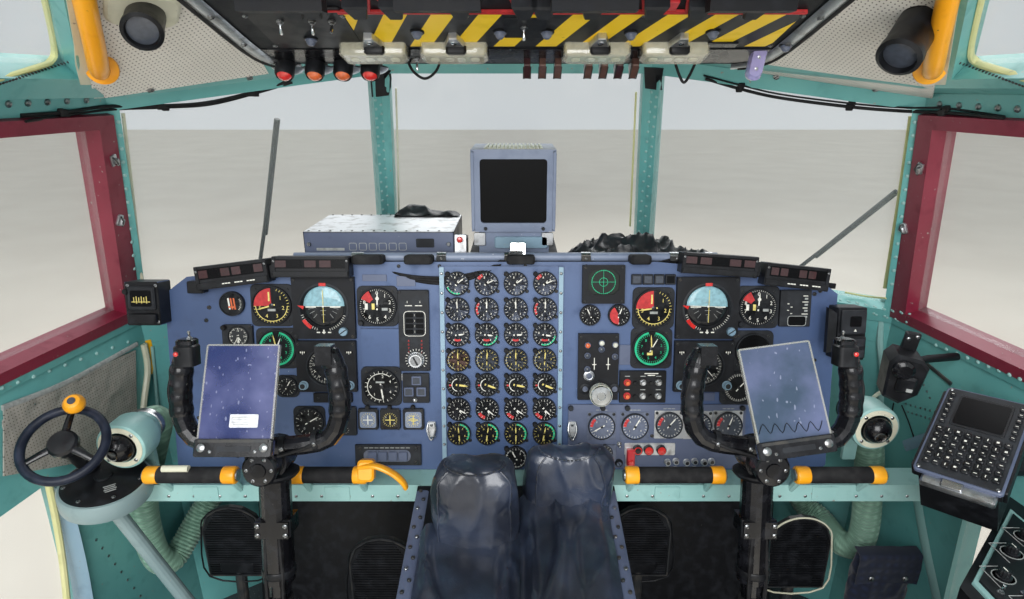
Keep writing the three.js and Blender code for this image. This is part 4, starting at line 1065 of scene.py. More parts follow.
here = PANEL @ shift(-219.5, 316)
units.add(block(66, 177, 0.2, 8.2, 2, 1), CASE_GREY, here)
units.add(plate(rounded(47, 55, 9), 8.2, 8.7, 0.1), MARK, here @ shift(2, 16))
units.add(plate(rounded(44.6, 52.6, 8), 8.3, 8.9, 0.1), CASE_GREY, here @ shift(2, 16))
for i in range(4):
    for x in (-9, 13):
        units.put(here, (SCREEN, x, 34.5 - 12 * i, 16, 9, 8.8, 10.4, 1, 0.5),
            (MARK, 2, 34.5 - 12 * i, 1, 4, 8.8, 9.4, 0, 0))
for x in (-12, 16):
    for k, text in enumerate("4071"):
        units.add(numeral(text, 6.5), LAMP_RED, here @ shift(x, -22 - 8 * k, 8.4))
for x in (-26, 28):
    units.add(numeral("2", 6), MARK, here @ shift(x * 0.5, 63, 8.4))
    units.put(here, (MARK, x * 0.4, 55, 15, 1.6, 8.2, 8.6, 0, 0))
knob(units, here @ shift(4, -63, 8.3), 34, 15, SILVER_PAINT, 22, STEEL, 1.2)
ticks(units, here @ shift(4, -63, 8.35), 24, 16, 4, 1.2, MARK, -130, 130)
units.screws(here, 6, 8.2, corners(29, 84))

here = PANEL @ shift(-218, 189)
units.add(block(58, 66, 0.2, 8.2, 2, 1), CASE_GREY, here)
for x, y in ((2, 18), (-15, -7), (12, -7)):
    units.put(here, (BLUE_GREY, x, y, 21, 20, 8.2, 14, 2, 1.4), (FACE_GREY, x, y, 15, 14, 13.9, 14.4, 1,
        0.2))
toggle(units, here @ shift(-2, -26, 8), 9, -30)

for u, wide, turn in ((-324.5, 44, 0), (-276, 44, 0), (-225, 46, 90)):
    here = PANEL @ shift(u, 119)
    middle = u == -276
    units.add(block(wide, 47, 0.2, 9.2, 4, 0.8), FACE if middle else CASE_GREY, here)
    units.add(plate(rounded(36, 36, 5), 9.2, 9.8, 0.2), FACE if middle else CASE_BLUE, here @ shift(0, -1))
    face = here @ shift(0, -1, 9.9)
    ticks(units, face, 16, 20, 3.5, 0.8, MARK_YELLOW)
    if turn:
        units.put(face, *((MARK_YELLOW, -2 + k, 9 - 6 * k, 12 - k, 1.4, 0.1, 0.5, 0, 0) for k in range(4)))
    for extra in (0, 90):
        units.add(block(2.0, 21, 0.3, 0.9, 0, 0), MARK_YELLOW if u > -320 else MARK,
            face @ spin(turn + extra))
    units.add(numeral("0", 5), MARK, face @ shift(-9, 6))
    units.add(numeral("5", 5), MARK, face @ shift(9, -8))
    units.put(here, (RUBBER, -1, 27, [(5, 4), (5, 9), (4, 11.5), (0, 12)], 14))
    units.screws(here, 5.5, 9.2, [(x, y) for x in (-18, 18) for y in (20, -21)])

here = PANEL @ shift(-371, 114)
units.add(block(41, 65, 0.2, 8.2, 3, 1), CASE_GREY, here)
for k in range(3):
    units.put(here, (FACE, -3, 20 - 20 * k, disc(7, 8, 8.7), 20))
    ticks(units, here @ shift(-3, 20 - 20 * k, 8.7), 7, 8, 2, 0.6, MARK)

here = PANEL @ shift(-283, 36)
units.add(block(146, 47, 0.2, 8.2, 1, 0.8), CASE_GREY, here)
units.add(plate(rounded(104, 27, 12, 6), 8.2, 8.9, 0.2), FACE_STEEL, here @ shift(-2, -1))
units.put(here, *((BLUE_GREY, -34 + 22.5 * k, -1, 20, 21, 8.8, 14.5, 3, 1.6) for k in range(4)))
units.screws(here, 9, 8.2, corners(62, 16))
units.put(here, *((MARK_DIM, -48 + 11.5 * k, 17.5, 9, 1.6, 8.2, 8.5, 0, 0) for k in range(9)))
units.put(PANEL, (SATIN_BLACK, -400, 167, 85, 21, 0.2, 8.0, 2, 0.8))
units.screws(PANEL, 6, 8, [(u, 167) for u in (-432, -368)])

# Mode unit and the lights panel on the right
here = PANEL @ shift(598, 365)
units.add(block(66, 79, 0.2, 8.2, 2, 1), CASE_GREY, here)
for k in range(4):
    units.put(here, (MARK, 20, 27 - 13 * k, 10 + 3 * (k % 2), 1.8, 8.2, 8.6, 0, 0),
        (MARK_DIM, 22, 21 - 13 * k, 7, 4, 8.2, 8.6, 0, 0), (MARK, -16 + 7 * (k % 2), 10 - 7 * k, 4, 1.6, 8.2,
        8.6, 0, 0))
units.add(plate(rounded(40, 22, 6), 8.2, 8.6), MARK_DIM, here @ shift(4, -27))
units.add(plate(rounded(37.5, 19.5, 5), 8.3, 8.8), SCREEN, here @ shift(4, -27))
here = PANEL @ shift(276, 192)
units.add(block(101, 71, 0.2, 8.0, 1.5, 0.8), SATIN_BLACK, here)
for i, x in enumerate((-34, 0, 34)):
    for y in (10, -20):
        rim = MARK_RED if i == 0 else STEEL
        units.put(here, (rim, x, y, [(8, 8), (8, 9.6), (6.6, 11), (0, 11)], 20))
        knob(units, here @ shift(x, y, 10), 10, 8, SILVER_PAINT if i else LAMP_ORANGE, 12)
        units.put(here, (MARK_DIM, x, y + 14, 11, 1.6, 8, 8.4, 0, 0))
        if i < 2:
            knob(units, here @ shift(x + 17, y - 1, 8), 9, 6, RUBBER, 12)
units.put(here, *((MARK, 18, 30 - 4 * k, 30 - 14 * k, 2.0, 8, 8.4, 0, 0) for k in range(2)))
for x, made in ((257, FACE_GREY), (281, FACE_GREY), (305, FACE_GREY), (329, SCREEN)):
    units.put(PANEL, (CASE_GREY, x, 427, 22, 22, 0.2, 7.4, 1, 1.2), (made, x, 427, 16, 15, 7.3, 8.0, 1, 0.2))
for u, v, wide, tall in ((237, 262, 26, 44), (-235, 423, 40, 22), (-302, 430, 52, 14), (406, 168, 60, 18)):
    units.put(PANEL, (BLUE_GREY, u, v, wide, tall, 0.3, 2.4, 1, 0.5))
units.screws(PANEL, 9, 0.2, ((-660, 366), (-668, 338), (640, 395), (652, 402)))
units.screws(PANEL, 8, 0.2, [(u, min(v, 455)) for u, v in ((-163, 470), (-130, 0), (650, 250), (650, 150),
    (-700, 250), (-700, 120), (-560, 30), (150, 470), (20, 470), (-250, 464), (560, 30), (620, 60))])
units.make("panel_blue")

# %% [markdown]
# The weather scope and the landing-gear panel stand off the plate. The gear lever ends in a ribbed clear
# wheel, so that a hand knows it in the dark.

# %% Weather scope and landing-gear panel
gear = Piece("scope_and_gear_panel")
here = PANEL @ shift(186, 417)
gear.add(plate(rounded(66, 54, 6), 9.1, 9.6), SCREEN_GREEN, here @ shift(0, 5))
face = here @ shift(0, 5, 9.7)
for radius in (9, 25):
    gear.add(sector(radius - 0.45, radius + 0.45, 0, 360, 0, 0.3), MARK_GREEN, face)
ticks(gear, face, 26.5, 36, 3.2, 0.5, MARK_GREEN)
for turn in (0, 90):
    gear.add(block(0.8, 52, 0, 0.35, 0, 0), MARK_GREEN, face @ spin(turn))
for sx in (-1, 1):
    for sy in (-1, 1):
        gear.screws(here, 6, 14, [(sx * 39, sy * 36)])
        gear.add(plate([(0, 0), (12, 0), (0, 12)], 13.9, 14.8), CRACKLE, here @ shift(sx * 33, 5 + sy * 27)
            @ spin({(1, 1): 180, (-1, 1): 270, (-1, -1): 0, (1, -1): 90}[sx, sy]))
here = PANEL @ shift(178, 237)
for x, y, lens in ((-24, 49, LAMP_ORANGE), (6, 54, LAMP_CLEAR), (35, 50, LAMP_CLEAR)):
    lamp(gear, here @ shift(x, y, 12), 14, 9, lens, BLUE_GREY)
for x, y in ((-24, 26), (35, 24), (-24, -4), (6, 40)):
    lamp(gear, here @ shift(x, y, 12), 14, 8, FACE_GREY, BLUE_GREY)
for sx in (-1, 1):
    gear.put(here, (MARK, 6 + sx * 15, 8, 1.6, 26, 12, 13.2, 0, 0), (MARK, 6 + sx * 15, 6, 9, 1.6, 12, 12.6,
        0, 0))
for x, y in ((-20, -19), (36, -48), (-28, -48)):
    gear.put(here, (ALUMINIUM if y == -19 else CASE_GREY, x, y,
        [(12, 12), (12, 14.5), (8.5, 16), (8.5, 12.5), (0, 12.5)], 22),
        (FACE_STEEL, x, y, [(6, 12.4), (6, 15), (0, 16)], 16))
rib = [(23, 46), (23.6, 47.2), (23, 48.4)]
gear.put(PANEL, *((LAMP_CLEAR if k % 2 else STEEL, 178, 189, [(r, z + 2.5 * k) for r, z in rib], 24)
    for k in range(8)), (CHROME, 178, 189, [(22.4, 66), (20, 68.5), (9, 69), (8, 67.5), (0, 67.5)], 24))
gear.put(PANEL @ shift(178, 196) @ spin(-8, "X"), (STEEL, 0, 0, [(7.6, 12), (7.6, 20), (6.4, 44), (7.5, 46)],
    16))
gear.screws(here, 6, 12, [(sx * 38, 66) for sx in (-1, 1)])
gear.make("instrument")

# %% [markdown]
# The lower right sub-panel carries hydraulic and oxygen dials on light backing sheets, three red-rimmed
# jacks, a row of small set knobs and a guarded red lever.

# %% Lower right sub-panel
low = Piece("lower_subpanel_units")
for u, v, wide, needle in ((188, 103, 58, 240), (261, 103, 58, 30), (336, 106, 58, 40), (400, 105, 58, 40),
        (466, 105, 60, 20)):
    here = PANEL @ shift(u, v)
    low.add(block(wide + 6, wide + 6, 5.1, 6.4, 2, 0.4), FACE_STEEL if u < 300 else SILVER_PAINT, here)
    ring(low, here, wide, 12, 2.4, 1.8)
    low.add(lathe(disc(wide / 2 - 2, 12, 12.5), 28), FACE_STEEL if u < 300 else FACE_GREY, here)
    face = here @ shift(0, 0, 12.55)
    ticks(low, face, wide / 2 - 3, 24, 4, 0.7, MARK)
    low.add(sector(wide * 0.33, wide * 0.44, 270, 320, 0.1, 0.25), MARK_RED, face)
    numerals(low, face, "1234", 6, MARK, wide * 0.27, 230, 85)
    pointer(low, face, wide * 0.4, wide * 0.12, 2.4, needle, MARK, 3)
    low.screws(here, 7, 6.3, [(sx * wide * 0.46, wide * 0.46) for sx in (-1, 1)])
    low.put(here, *((MARK_DIM, -9 + 9 * k, wide / 2 + 7, 7, 1.5, 5, 5.5, 0, 0) for k in range(3)))
here = PANEL @ shift(196, 42)
low.add(block(50, 38, 5.1, 11.6, 2, 0.6), FACE_STEEL, here)
ring(low, here @ shift(0, 2), 34, 11, 2, 2)
low.put(here, (FACE, 0, 2, disc(15, 11.4, 11.9), 24))
ticks(low, here @ shift(0, 2, 12), 14.5, 12, 3, 0.7, MARK)
pointer(low, here @ shift(0, 2, 12), 12, 4, 2, -40, MARK, 2)
low.put(PANEL, (SILVER_PAINT, 296, 50, 112, 28, 5.0, 6.6, 3, 0.4))
for u in (268, 292, 320):
    low.put(PANEL, (CASE_GREY, u, 50, [(10.6, 6), (10.6, 17), (9.4, 18.4), (7.2, 18.4), (6.4, 10)], 22))
    low.add(sector(6.6, 8.8, 0, 360, 17.8, 18.9), LAMP_RED, PANEL @ shift(u, 50))
    low.put(PANEL, (LAMP_RED if u != 268 else FACE, u, 50, disc(6.6, 16.4, 17), 16))
for k, u in enumerate((344, 362, 386, 404, 425, 441)):
    knob(low, PANEL @ shift(u - 8, 20 + 2 * (k % 2), 5.1), 13, 10, SILVER_PAINT, 12, FACE, 1)
    low.put(PANEL, (MARK_DIM, u - 8, 9, 7, 1.5, 5, 5.5, 0, 0))
low.put(PANEL, (SILVER_PAINT, 253, 32, 22, 44, 5.1, 8, 2, 0.6), (RED, 253, 33, 17, 40, 8, 21, 3, 3),
    (LAMP_RED, 253, 22, 13, 16, 20, 24, 3, 2))
toggle(low, PANEL @ shift(228, 62, 5), 11, 10)
knob(low, PANEL @ shift(228, 18, 5), 16, 9, CASE_GREY, 14, FACE_STEEL, 1)
for u in (120, 190, 244, 372, 496):
    knob(low, PANEL @ shift(u, 144, 5), 12, 7, CASE_GREY, 12)
low.screws(PANEL, 8, 5, [(120, 12), (498, 12), (300, 80), (432, 60)])
low.make("panel_blue")

# %% [markdown]
# Along the panel's upper edge run hooded rows of warning lights: black boxes that keep the sun off their
# lenses. Behind them a painted tube with clips edges the coaming, with a loom of black cable tied along it.

# %% Warning-light hoods, edge tube and side boxes
hoods = Piece("coaming_hoods")
HOODS = [(-592, 440, 152, 48, 7), (-427, 456, 160, 42, 0), (424, 460, 158, 42, -4), (586, 435, 134, 46, -6)]
for u, v, wide, tall, turn in HOODS:
    here = PANEL @ shift(u, v) @ spin(turn)
    hoods.put(here, (SATIN_BLACK, 0, 0, wide + 1, tall + 1, -2, 34.8, 2, 1),
        (SCREEN, 0, tall * 0.16, wide - 14, tall * 0.46, 34.8, 35.8, 1, 0.3))
    count = 6 if abs(u) > 500 else 5
    for k in range(count):
        x = -wide / 2 + 18 + (wide - 36) * k / (count - 1)
        hoods.put(here, (FACE_BURNT if (k + int(u)) % 3 else SCREEN, x, tall * 0.16, (wide - 40) / count,
            tall * 0.34, 35.6, 36.4, 1, 0.2))
    hoods.put(here, (SATIN_BLACK, 0, -tall * 0.33, wide - 2, tall * 0.24, 34.8, 39, 1, 1.2))
    if abs(u) > 500:
        for x in (-18, 8, 34):
            hoods.put(here, *((MARK, x + 6 * k, -tall * 0.33, 5, 2.2, 39, 39.3, 0, 0) for k in range(3)))
    for sx in (-1, 1):
        hoods.put(here, (CRACKLE, sx * (wide / 2 - 4), 0, 7, tall + 2, 20, 36.5, 1, 0.8))
        hoods.screws(here, 5, 36.3, [(sx * (wide / 2 - 4), tall * 0.3)], STEEL)
# Link pieces between the hoods and the small unlit hoods over the centre
for u, v, wide, tall in ((-511, 446, 14, 30), (505, 450, 14, 32), (-676, 412, 34, 26)):
    hoods.put(PANEL, (SATIN_BLACK, u, v, wide, tall, -1, 24, 3, 2))
for u, v, wide in ((-312, 470, 66), (-205, 470, 60), (10, 470, 60), (262, 470, 44)):
    hoods.put(PANEL, (RUBBER, u, v, wide, 20, -8, 26, 6, 4))
hoods.make("black_metal")

edge = Piece("coaming_edge_tube")
edge.add(tube([(-478, 400, 1219), (433, 400, 1219)], 10.1, 16), CASE_BLUE)
for x, wide in ((-340, 26), (-160, 20), (-8, 34), (150, 20), (345, 30), (414, 16)):
    edge.add(tube([(x - wide / 2, 400, 1219), (x + wide / 2, 400, 1219)], 11.4, 16), STEEL)
    edge.add(block(wide, 11, 0, 5, 1, 0.6), STEEL_DARK, frame_at((x, 390, 1219), (0, -1, 0)))
    edge.screws(frame_at((x, 384.8, 1219), (0, -1, 0)), 7, 0, [(0, 0)], STEEL)
edge.add(block(30, 26, 0, 9, 2, 1), CHROME, frame_at((0, 392, 1222), (0, -1, 0)))
for k, x in enumerate((-300, -292, -284)):
    way = smooth_path([(x, 388, 1206), (x + 60, 374, 1186 - k * 5), (x + 150, 368, 1182 - k * 6),
        (x + 230, 374, 1196), (x + 268 - 4 * k, 386, 1214)], 8)
    edge.add(tube(way, 3.4, 8), CABLE_BLACK)
for x0, x1, sag in ((-470, -350, 5), (140, 330, 7)):
    way = smooth_path([(x0, 389, 1216), (x0 * 0.7 + x1 * 0.3, 384, 1213 - sag),
        (x0 * 0.3 + x1 * 0.7, 384, 1212 - sag), (x1, 389, 1216)], 8)
    edge.add(tube(way, 2.6, 8), CABLE_BLACK)
edge.make("black_metal")

# The black units at the ends of the panel
ends = Piece("panel_end_units")
here = PANEL @ shift(-778, 380)
ends.add(block(70, 92, -6, 41.5, 4, 1.5), SATIN_BLACK, here)
here = here @ shift(0, 0, 33)
ends.put(here, (CASE_GREY, 2, 12, 56, 50, 8, 16, 5, 2.5), (SCREEN, 2, 12, 44, 34, 15.6, 16.4, 4, 0.2),
    *((MARK_YELLOW, -12 + 5.2 * k, 9, 1.4, 11 + 4 * (k % 2), 16.3, 16.8, 0, 0) for k in range(6)),
    (MARK_YELLOW, 2, 5, 38, 1.4, 16.3, 16.8, 0, 0), (SATIN_BLACK, 2, -30, 58, 20, 8, 20, 3, 2))
ends.screws(here, 7, 8, ((-28, 38), (30, 38), (-28, -38), (30, -38)), STEEL)
knob(ends, here @ shift(-30, 26, 8), 12, 10, RUBBER)
here = PANEL @ shift(703, 316)
ends.add(block(60, 112, -6, 41.5, 3, 1.5), SATIN_BLACK, here)
here = here @ shift(0, 0, 33)
ends.put(here, (CASE_GREY, 0, 26, 52, 50, 8, 17, 4, 2), (SCREEN, 3, 28, 24, 22, 16.6, 18, 3, 0.6))
ends.add(plate([(-3, -2), (3, -2), (0, 3)], 16.9, 17.6), MARK, here @ shift(3, 9))
ends.put(here, (SATIN_BLACK, 0, -27, 54, 48, 8, 19, 5, 3),
    *((CASE_GREY, 0, y, 46, 17, 18.5, 21, 3, 1) for y in (-16, -40)))
ends.add(plate([(-52, -40), (-34, -36), (-34, 44), (-52, 56)], 0.2, 12), SATIN_BLACK, here)
ends.screws(here, 6, 8, ((-20, 48), (20, 48)), STEEL)
ends.make("black_metal")

# %% [markdown]
# The radio box lies behind the edge tube under a creased black cloth, and the display on its turned foot
# has a deep plain bezel, thin rails at its sides and a slotted vent on top. The display's case is cast and
# painted a pale blue.

# %% Display unit and radio box
show = Piece("display_face")
DX, DZ, DY = -5.5, 1351, 462
here = frame_at((DX, DY, DZ), (0, -1, 0))
show.add(plate(rounded(148, 141, 6), -4.8, -4.2, 0.1), SCREEN, here)
frame_outline = rounded(186, 179, 9)
hole = rounded(146, 139, 7)
points = [(x, y, z) for ring_of, z in ((frame_outline, -6), (frame_outline, 1.6), (hole, 3.2), (hole, -4))
    for x, y in ring_of]
show.add((points, bridges(4, len(hole))), CASE_BLUE, here)
for x in (-62, 66):
    knob(show, here @ shift(x, -82, 2), 8, 5, CASE_GREY, 12)
for side in (-1, 1):
    show.put(here, (CASE_BLUE, side * 89, 0, 5, 172, 1, 6, 2, 1.5))
    show.add(block(26, 30, 0, 4, 3, 1), SILVER_PAINT, frame_at((DX + side * 76, 468, 1244), (0, -1, 0)))
for k in range(14):
    show.add(block(4, 96, 0.2, 5, 1.5, 1), CREAM, shift(DX - 58 + 9 * k, 540, 1440))
show.add(block(130, 108, -0.5, 1.2, 4, 0.5), CREAM, shift(DX, 540, 1440))
show.add(block(34, 62, 0, 5, 3, 2), CHROME, frame_at((4, 394, 1222), (0, -0.95, 0.3)))
show.screws(here, 5, 2.0, corners(88, 84), STEEL)
show.add(block(120, 26, 0, 6, 4, 2), BLUE_LIGHT, frame_at((12, 470, 1236), (0, -1, 0)))
show.make("panel_blue")

box = Piece("radio_box_face")
box.add(block(331, 203, 0, 1.2, 4, 0.5), SILVER_PAINT, shift(-302.5, 543.5, 1265))
box.screws(shift(), 5, 1266, [(x, y) for x in range(-458, -146, 24) for y in (448, 640)])
here = frame_at((-302.5, 442, 1239), (0, -1, 0))
box.add(block(329, 50, 0, 3, 3, 1), BLUE_GREY, here)
for k in range(6):
    box.put(here, (MARK_DIM, -58 + 22 * k, -6, 17, 17, 3, 3.5, 3, 0),
        (BLUE_GREY, -58 + 22 * k, -6, 14.5, 14.5, 3, 3.9, 2, 0))
box.put(here, (MARK_DIM, -108, -12, 62, 6, 3, 3.8, 1), (CASE_GREY, 102, 2, 40, 20, 3, 4.5, 3, 0.6))
for x in (-154, 154):
    knob(box, here @ shift(x, 0, 3), 9, 6, STEEL, 8)
box.add(block(28, 44, 0, 5, 3, 1), ALUMINIUM, frame_at((-124, 450, 1236), (0, -1, 0.15)))
box.add(lathe([(7, 0), (7, 8), (5, 11), (0, 12)], 16), LAMP_RED, frame_at((-124, 445, 1248), (0, -1, 0.15)))
box.make("radio")

# %% [markdown]
# The cab's frame shows its making: rows of rivets along the posts and rails, screwed strips beside the
# maroon seals, black caps at the heads of the centre posts and olive putty round the eyebrow windows.
# Sheets and strips are laid on the CAD surface by lines of sight, so that each follows the surface it is
# fixed to.


# %% Strips, sheets and rivets laid on the frame
def strip_on(piece, names, line, wide, thick, made, lift=0.0, steps=5):
    """A flat strip through points of the picture on the named solids."""
    spots = [seen(px, py, *names) for px, py in line]
    path = smooth_path([p + n * lift for p, n in spots], steps)
    piece.add(tube(path, wide / 2, 8, flat=thick / wide, up=spots[0][1]), made)


def seen_rows(names, corners, count, lift):
    """Rows of points on the named solids inside four corners of the picture: low left, low right, high right,
    high left."""
    a, b, c, d = (Vector(p) for p in corners)
    rows = []
    for j in range(count[1] + 1):
        left, right = a.lerp(d, j / count[1]), b.lerp(c, j / count[1])
        spots = [seen(*left.lerp(right, i / count[0]), *names) for i in range(count[0] + 1)]
        rows.append([p + n * lift for p, n in spots])
    return rows


def cloth_sheet(name, rows, thick, made, slot, held, rests_on, *replaced, fasteners=()):
    """A sheet of cloth through rows of points."""
    piece = Piece(name)
    piece.add(grid_sheet(rows, thick), made)
    for form, finish_of, at in fasteners:
        piece.add(form, finish_of, at)
    obj = piece.make(slot, *replaced, angle=80)
    rows = [[Vector(p) for p in row] for row in rows]
    top = grid_sheet(rows)


def rivets(piece, names, start, end, count, wide, made, zigzag=0.0):
    for i in range(count):
        share = i / max(1, count - 1)
        px = start[0] + (end[0] - start[0]) * share + zigzag * (i % 2 * 2 - 1)
        point, normal = seen(px, start[1] + (end[1] - start[1]) * share, *names)
        piece.add(lathe([(wide / 2, -0.5), (wide * 0.42, wide * 0.2), (wide * 0.2, wide * 0.34),
            (0, wide * 0.38)], 8), made, frame_at(point, normal))


trim = Piece("frame_rivets_and_strips")
ROOF = ("roof_shell", "windshield_frame")
FRAME = ("windshield_frame", "window_seal_left", "window_seal_right", "glass_front_left",
    "glass_front_right", "glass_centre")
for start, end, count, wide, shift_px in (((378, 100), (386, 214), 26, 8, 2.6),
        ((654, 92), (641, 236), 30, 8, 2.6), ((384, 216), (389, 248), 6, 8, 2),
        ((119, 122), (136, 282), 13, 9, 0), ((915, 122), (892, 284), 13, 9, 0),
        ((8, 104), (86, 100), 5, 13, 0), ((940, 104), (1018, 109), 5, 13, 0),
        ((842, 300), (908, 314), 16, 7, 1.5), ((845, 306), (905, 322), 12, 7, 1.5),
        ((2, 388), (128, 342), 9, 9, 0), ((936, 345), (1020, 379), 9, 9, 0),):
    rivets(trim, FRAME, start, end, count, wide, TEAL_PALE if wide < 10 else STEEL, shift_px)
for start, end, count in (((0, 84), (68, 62), 22), ((960, 63), (1023, 86), 20)):
    rivets(trim, ROOF, start, end, count, 5, STEEL_DARK)
for corners in (((373, 97), (389, 95), (391, 70), (371, 70)), ((645, 88), (661, 90), (664, 68), (644, 67))):
    trim.add(grid_sheet(seen_rows(FRAME, corners, (3, 3), 3.2), 3), SATIN_BLACK)
for line, wide in (([(123, 113), (132, 190), (142, 280)], 7), ([(396, 88), (398, 160), (399, 214)], 5)):
    strip_on(trim, FRAME, line, wide, 3, CREAM, 1)
for line, wide in (([(911, 116), (899, 200), (885, 288)], 9), ([(636, 92), (633, 160), (630, 226)], 5),
        ([(886, 298), (866, 296), (845, 292)], 6)):
    strip_on(trim, FRAME, line, wide, 3, PUTTY, 1)
for px, py, tilt in ((113, 160, 20), (119, 220, -15), (921, 168, -20), (905, 228, 15)):
    point, normal = seen(px, py, *FRAME)
    latch = frame_at(point, normal, turn=radians(tilt))
    trim.put(latch, (ALUMINIUM, 0, 0, 15, 24, 0, 4, 3, 1), (STEEL, 2, -3, 7, 15, 4, 11, 2, 1.5))
    trim.add(tube([(-4, 9, 5), (-3, 0, 12), (4, -12, 8)], 1.6, 6), STEEL_DARK, latch)
trim.make("green_paint")

putty = Piece("eyebrow_window_putty")
for line in ([(30, -70), (44, -8), (55, 46), (50, 62), (36, 68), (-30, 86), (-90, 104)],
        [(996, -70), (982, -8), (970, 48), (976, 62), (990, 68), (1056, 86), (1114, 104)]):
    strip_on(putty, ROOF, line, 13, 8, PUTTY, 1.5)
putty.make("seal")

# %% [markdown]
# Beside the overhead panel the roof is lined with perforated leathercloth, pinned by snaps along its lower
# edge. The orange grab handle is bolted over its outer corner.

# %% Roof linings, grab handles and spotlights
metal = Piece("roof_handle_plates")
for side, flip, handle_plate in (("left", lambda px: px, ((80, 84), (104, 84), (102, -34), (60, -34))),
        ("right", lambda px: 1026 - px, ((922, 84), (946, 84), (966, -34), (924, -34)))):
    corners = [(flip(92), 98), (flip(268), 72), (flip(193), -60), (flip(66), -60)]
    if flip(0):
        corners = [corners[1], corners[0], corners[3], corners[2]]
    cloth_sheet(f"roof_lining_{side}", seen_rows(ROOF, corners, (14, 12), 4), 3, LINING, "skin", "stretched",
        ["roof_shell"])
    metal.add(grid_sheet(seen_rows(ROOF, handle_plate, (4, 6), 2), 1.5), CREAM)
    for px in (249, 150):
        point, normal = seen(flip(px), 76 if px == 249 else 88, *ROOF)
        metal.screws(frame_at(point + normal * 4, normal), 13, 0, [(0, 0)], STEEL)
metal.make("radio")

grips = Piece("grab_handle_grips")
for side in (-1, 1):
    foot = Vector((side * 703, 222, 1593))
    bend = [(742, 268, 1600), (712, 230, 1592), (688, 190, 1594), (655, 138, 1628), (615, 72, 1688),
        (594, 40, 1732)]
    grips.add(tube(smooth_path([(side * x, y, z) for x, y, z in bend], 10), 15.5, 18), GUARD_YELLOW)
    grips.put(frame_at(foot, (-side * 0.35, -0.8, -0.2)),
        (GUARD_YELLOW, 0, 0, [(24, -6), (26, -2), (25, 3), (15, 7), (0, 9)], 28))
    grips.screws(frame_at(foot + Vector((-side * 5, -8, -12)), (-side * 0.35, -0.8, -0.2)), 9, 0, [(0, 0)])
grips.make("yellow", "grab_handle_left", "grab_handle_right")

spots = Piece("roof_spotlights")
for px, py, out, up, wide, long in ((141, 4, (0.25, -0.75, -0.45), (1, 0, 0), 56, 60),
        (920, 14, (-0.5, -0.45, -0.55), (0, 0, 1), 62, 92)):
    point, normal = seen(px, py, *ROOF)
    base = frame_at(point + normal * 4, normal)
    spots.add(block(104, 74, 0, 12, 20, 4), CREAM, base) if px < 500 else spots.add(
        lathe([(26, 0), (26, 12), (16, 18), (0, 18)], 20), SATIN_BLACK, base)
    body = frame_at(point + normal * 26, out, up)
    r = wide / 2
    spots.put(body, (SATIN_BLACK, 0, 0, [(r * 0.7, -22), (r, -14), (r, long * 0.55), (r * 1.06, long * 0.6),
        (r * 1.06, long * 0.74), (r * 0.86, long * 0.78), (r * 0.8, long * 0.66), (0, long * 0.66)], 28),
        (FACE_GREY, 0, 0, [(r * 0.78, long * 0.67), (r * 0.5, long * 0.7), (0, long * 0.72)], 24))
spots.make("black_parts")

# %% [markdown]
# Things on a flat panel are placed by where a line of sight meets that panel's own plane. The overhead
# panel leans with the roof, so its switches, lamps and the striped band are drawn in its own directions: X
# to the right, Y up the panel towards the crew, Z out of it.


# %% Overhead panel
def on_plane(px, py, face, lift=0.0):
    """The place, in a face's own directions, where a line of sight meets the face."""
    turn = face.to_3x3()
    out, way = turn @ Vector((0, 0, 1)), sight(px, py)
    point = EYE + way * ((face.translation - EYE).dot(out) / way.dot(out))
    return shift(*point) @ turn.to_4x4() @ shift(0, 0, lift)


OVER = frame_at((0, 240, 1602), (0, -0.283, -0.959))
BAR_X = (-224, -97, 127, 250)

band = Piece("overhead_warning_band")
band.put(OVER, (WARNING, 80, 144, 643, 118, -0.5, 2.2, 4, 1), (SATIN_BLACK, 13, 158, 62, 70, 2, 3.6, 2, 0.6),
    (SATIN_BLACK, -310, 152, 138, 146, -0.5, 2.6, 4, 1), *((MARK_RED, x, y, wide, 3.2, 1, 4.2, 0, 0.5) for y,
    wide, x in ((209, 650, 78), (215, 780, 10))), (GLOSS_BLACK, 0, 40, 860, 60, -0.5, 1.6, 3, 0.6))
for x in (-380, -243, 402, -70, 180, 320):
    band.screws(OVER, 8, 2, [(x, y) for y in (88, 198)], STEEL)
band.make("yellow")

over = Piece("overhead_switches_and_lamps")
for px, py, lean in ((280, 19, 24), (312, 19, 20), (332, 19, -16), (524, 25, 18), (417, 57, 10)):
    toggle(over, on_plane(px, py, OVER, 2.6), 15, lean)
for px, py in ((417, 30), (500, 30), (547, 30), (631, 31), (713, 30), (311, 37), (786, 43)):
    over.put(on_plane(px, py, OVER, 2), (FACE_STEEL, 0, 0, [(9, 0), (9, 4), (7.4, 5), (6.6, 8), (4, 11),
        (0, 12)], 20), (SATIN_BLACK, 0, 0, [(11, 0), (11, 2), (9, 3)], 20))
for at_x in BAR_X:
    here = OVER @ shift(at_x, 85)
    over.put(here, (LAMP_GLASS, 0, 0, 100, 34, 0, 20.5, 4, 3), (LENS, 0, 0, 105, 39, 0, 24, 6, 5),
        *((LAMP_CLEAR if x % 16 else CREAM, x, -6, 14, 13, 20, 22.4, 4, 1) for x in (-32, -8, 10, 32)),
        (SATIN_BLACK, 0, -20, 107, 7, 0, 12, 2, 1.5))
    over.add(plate([(-17, 0), (17, 0), (6, 40), (-6, 40)], 2, 12, 1), SILVER_PAINT, here @ shift(2, 15))
    over.screws(here, 10, 12, [(2, 40)], CHROME)
    over.put(here, (SATIN_BLACK, 4, 18, 32, 13, 10, 22, 4, 3))
edge = [(-428, 330), (-427, 200), (-425, 90), (-417, 30), (-398, 2), (-372, -8)]
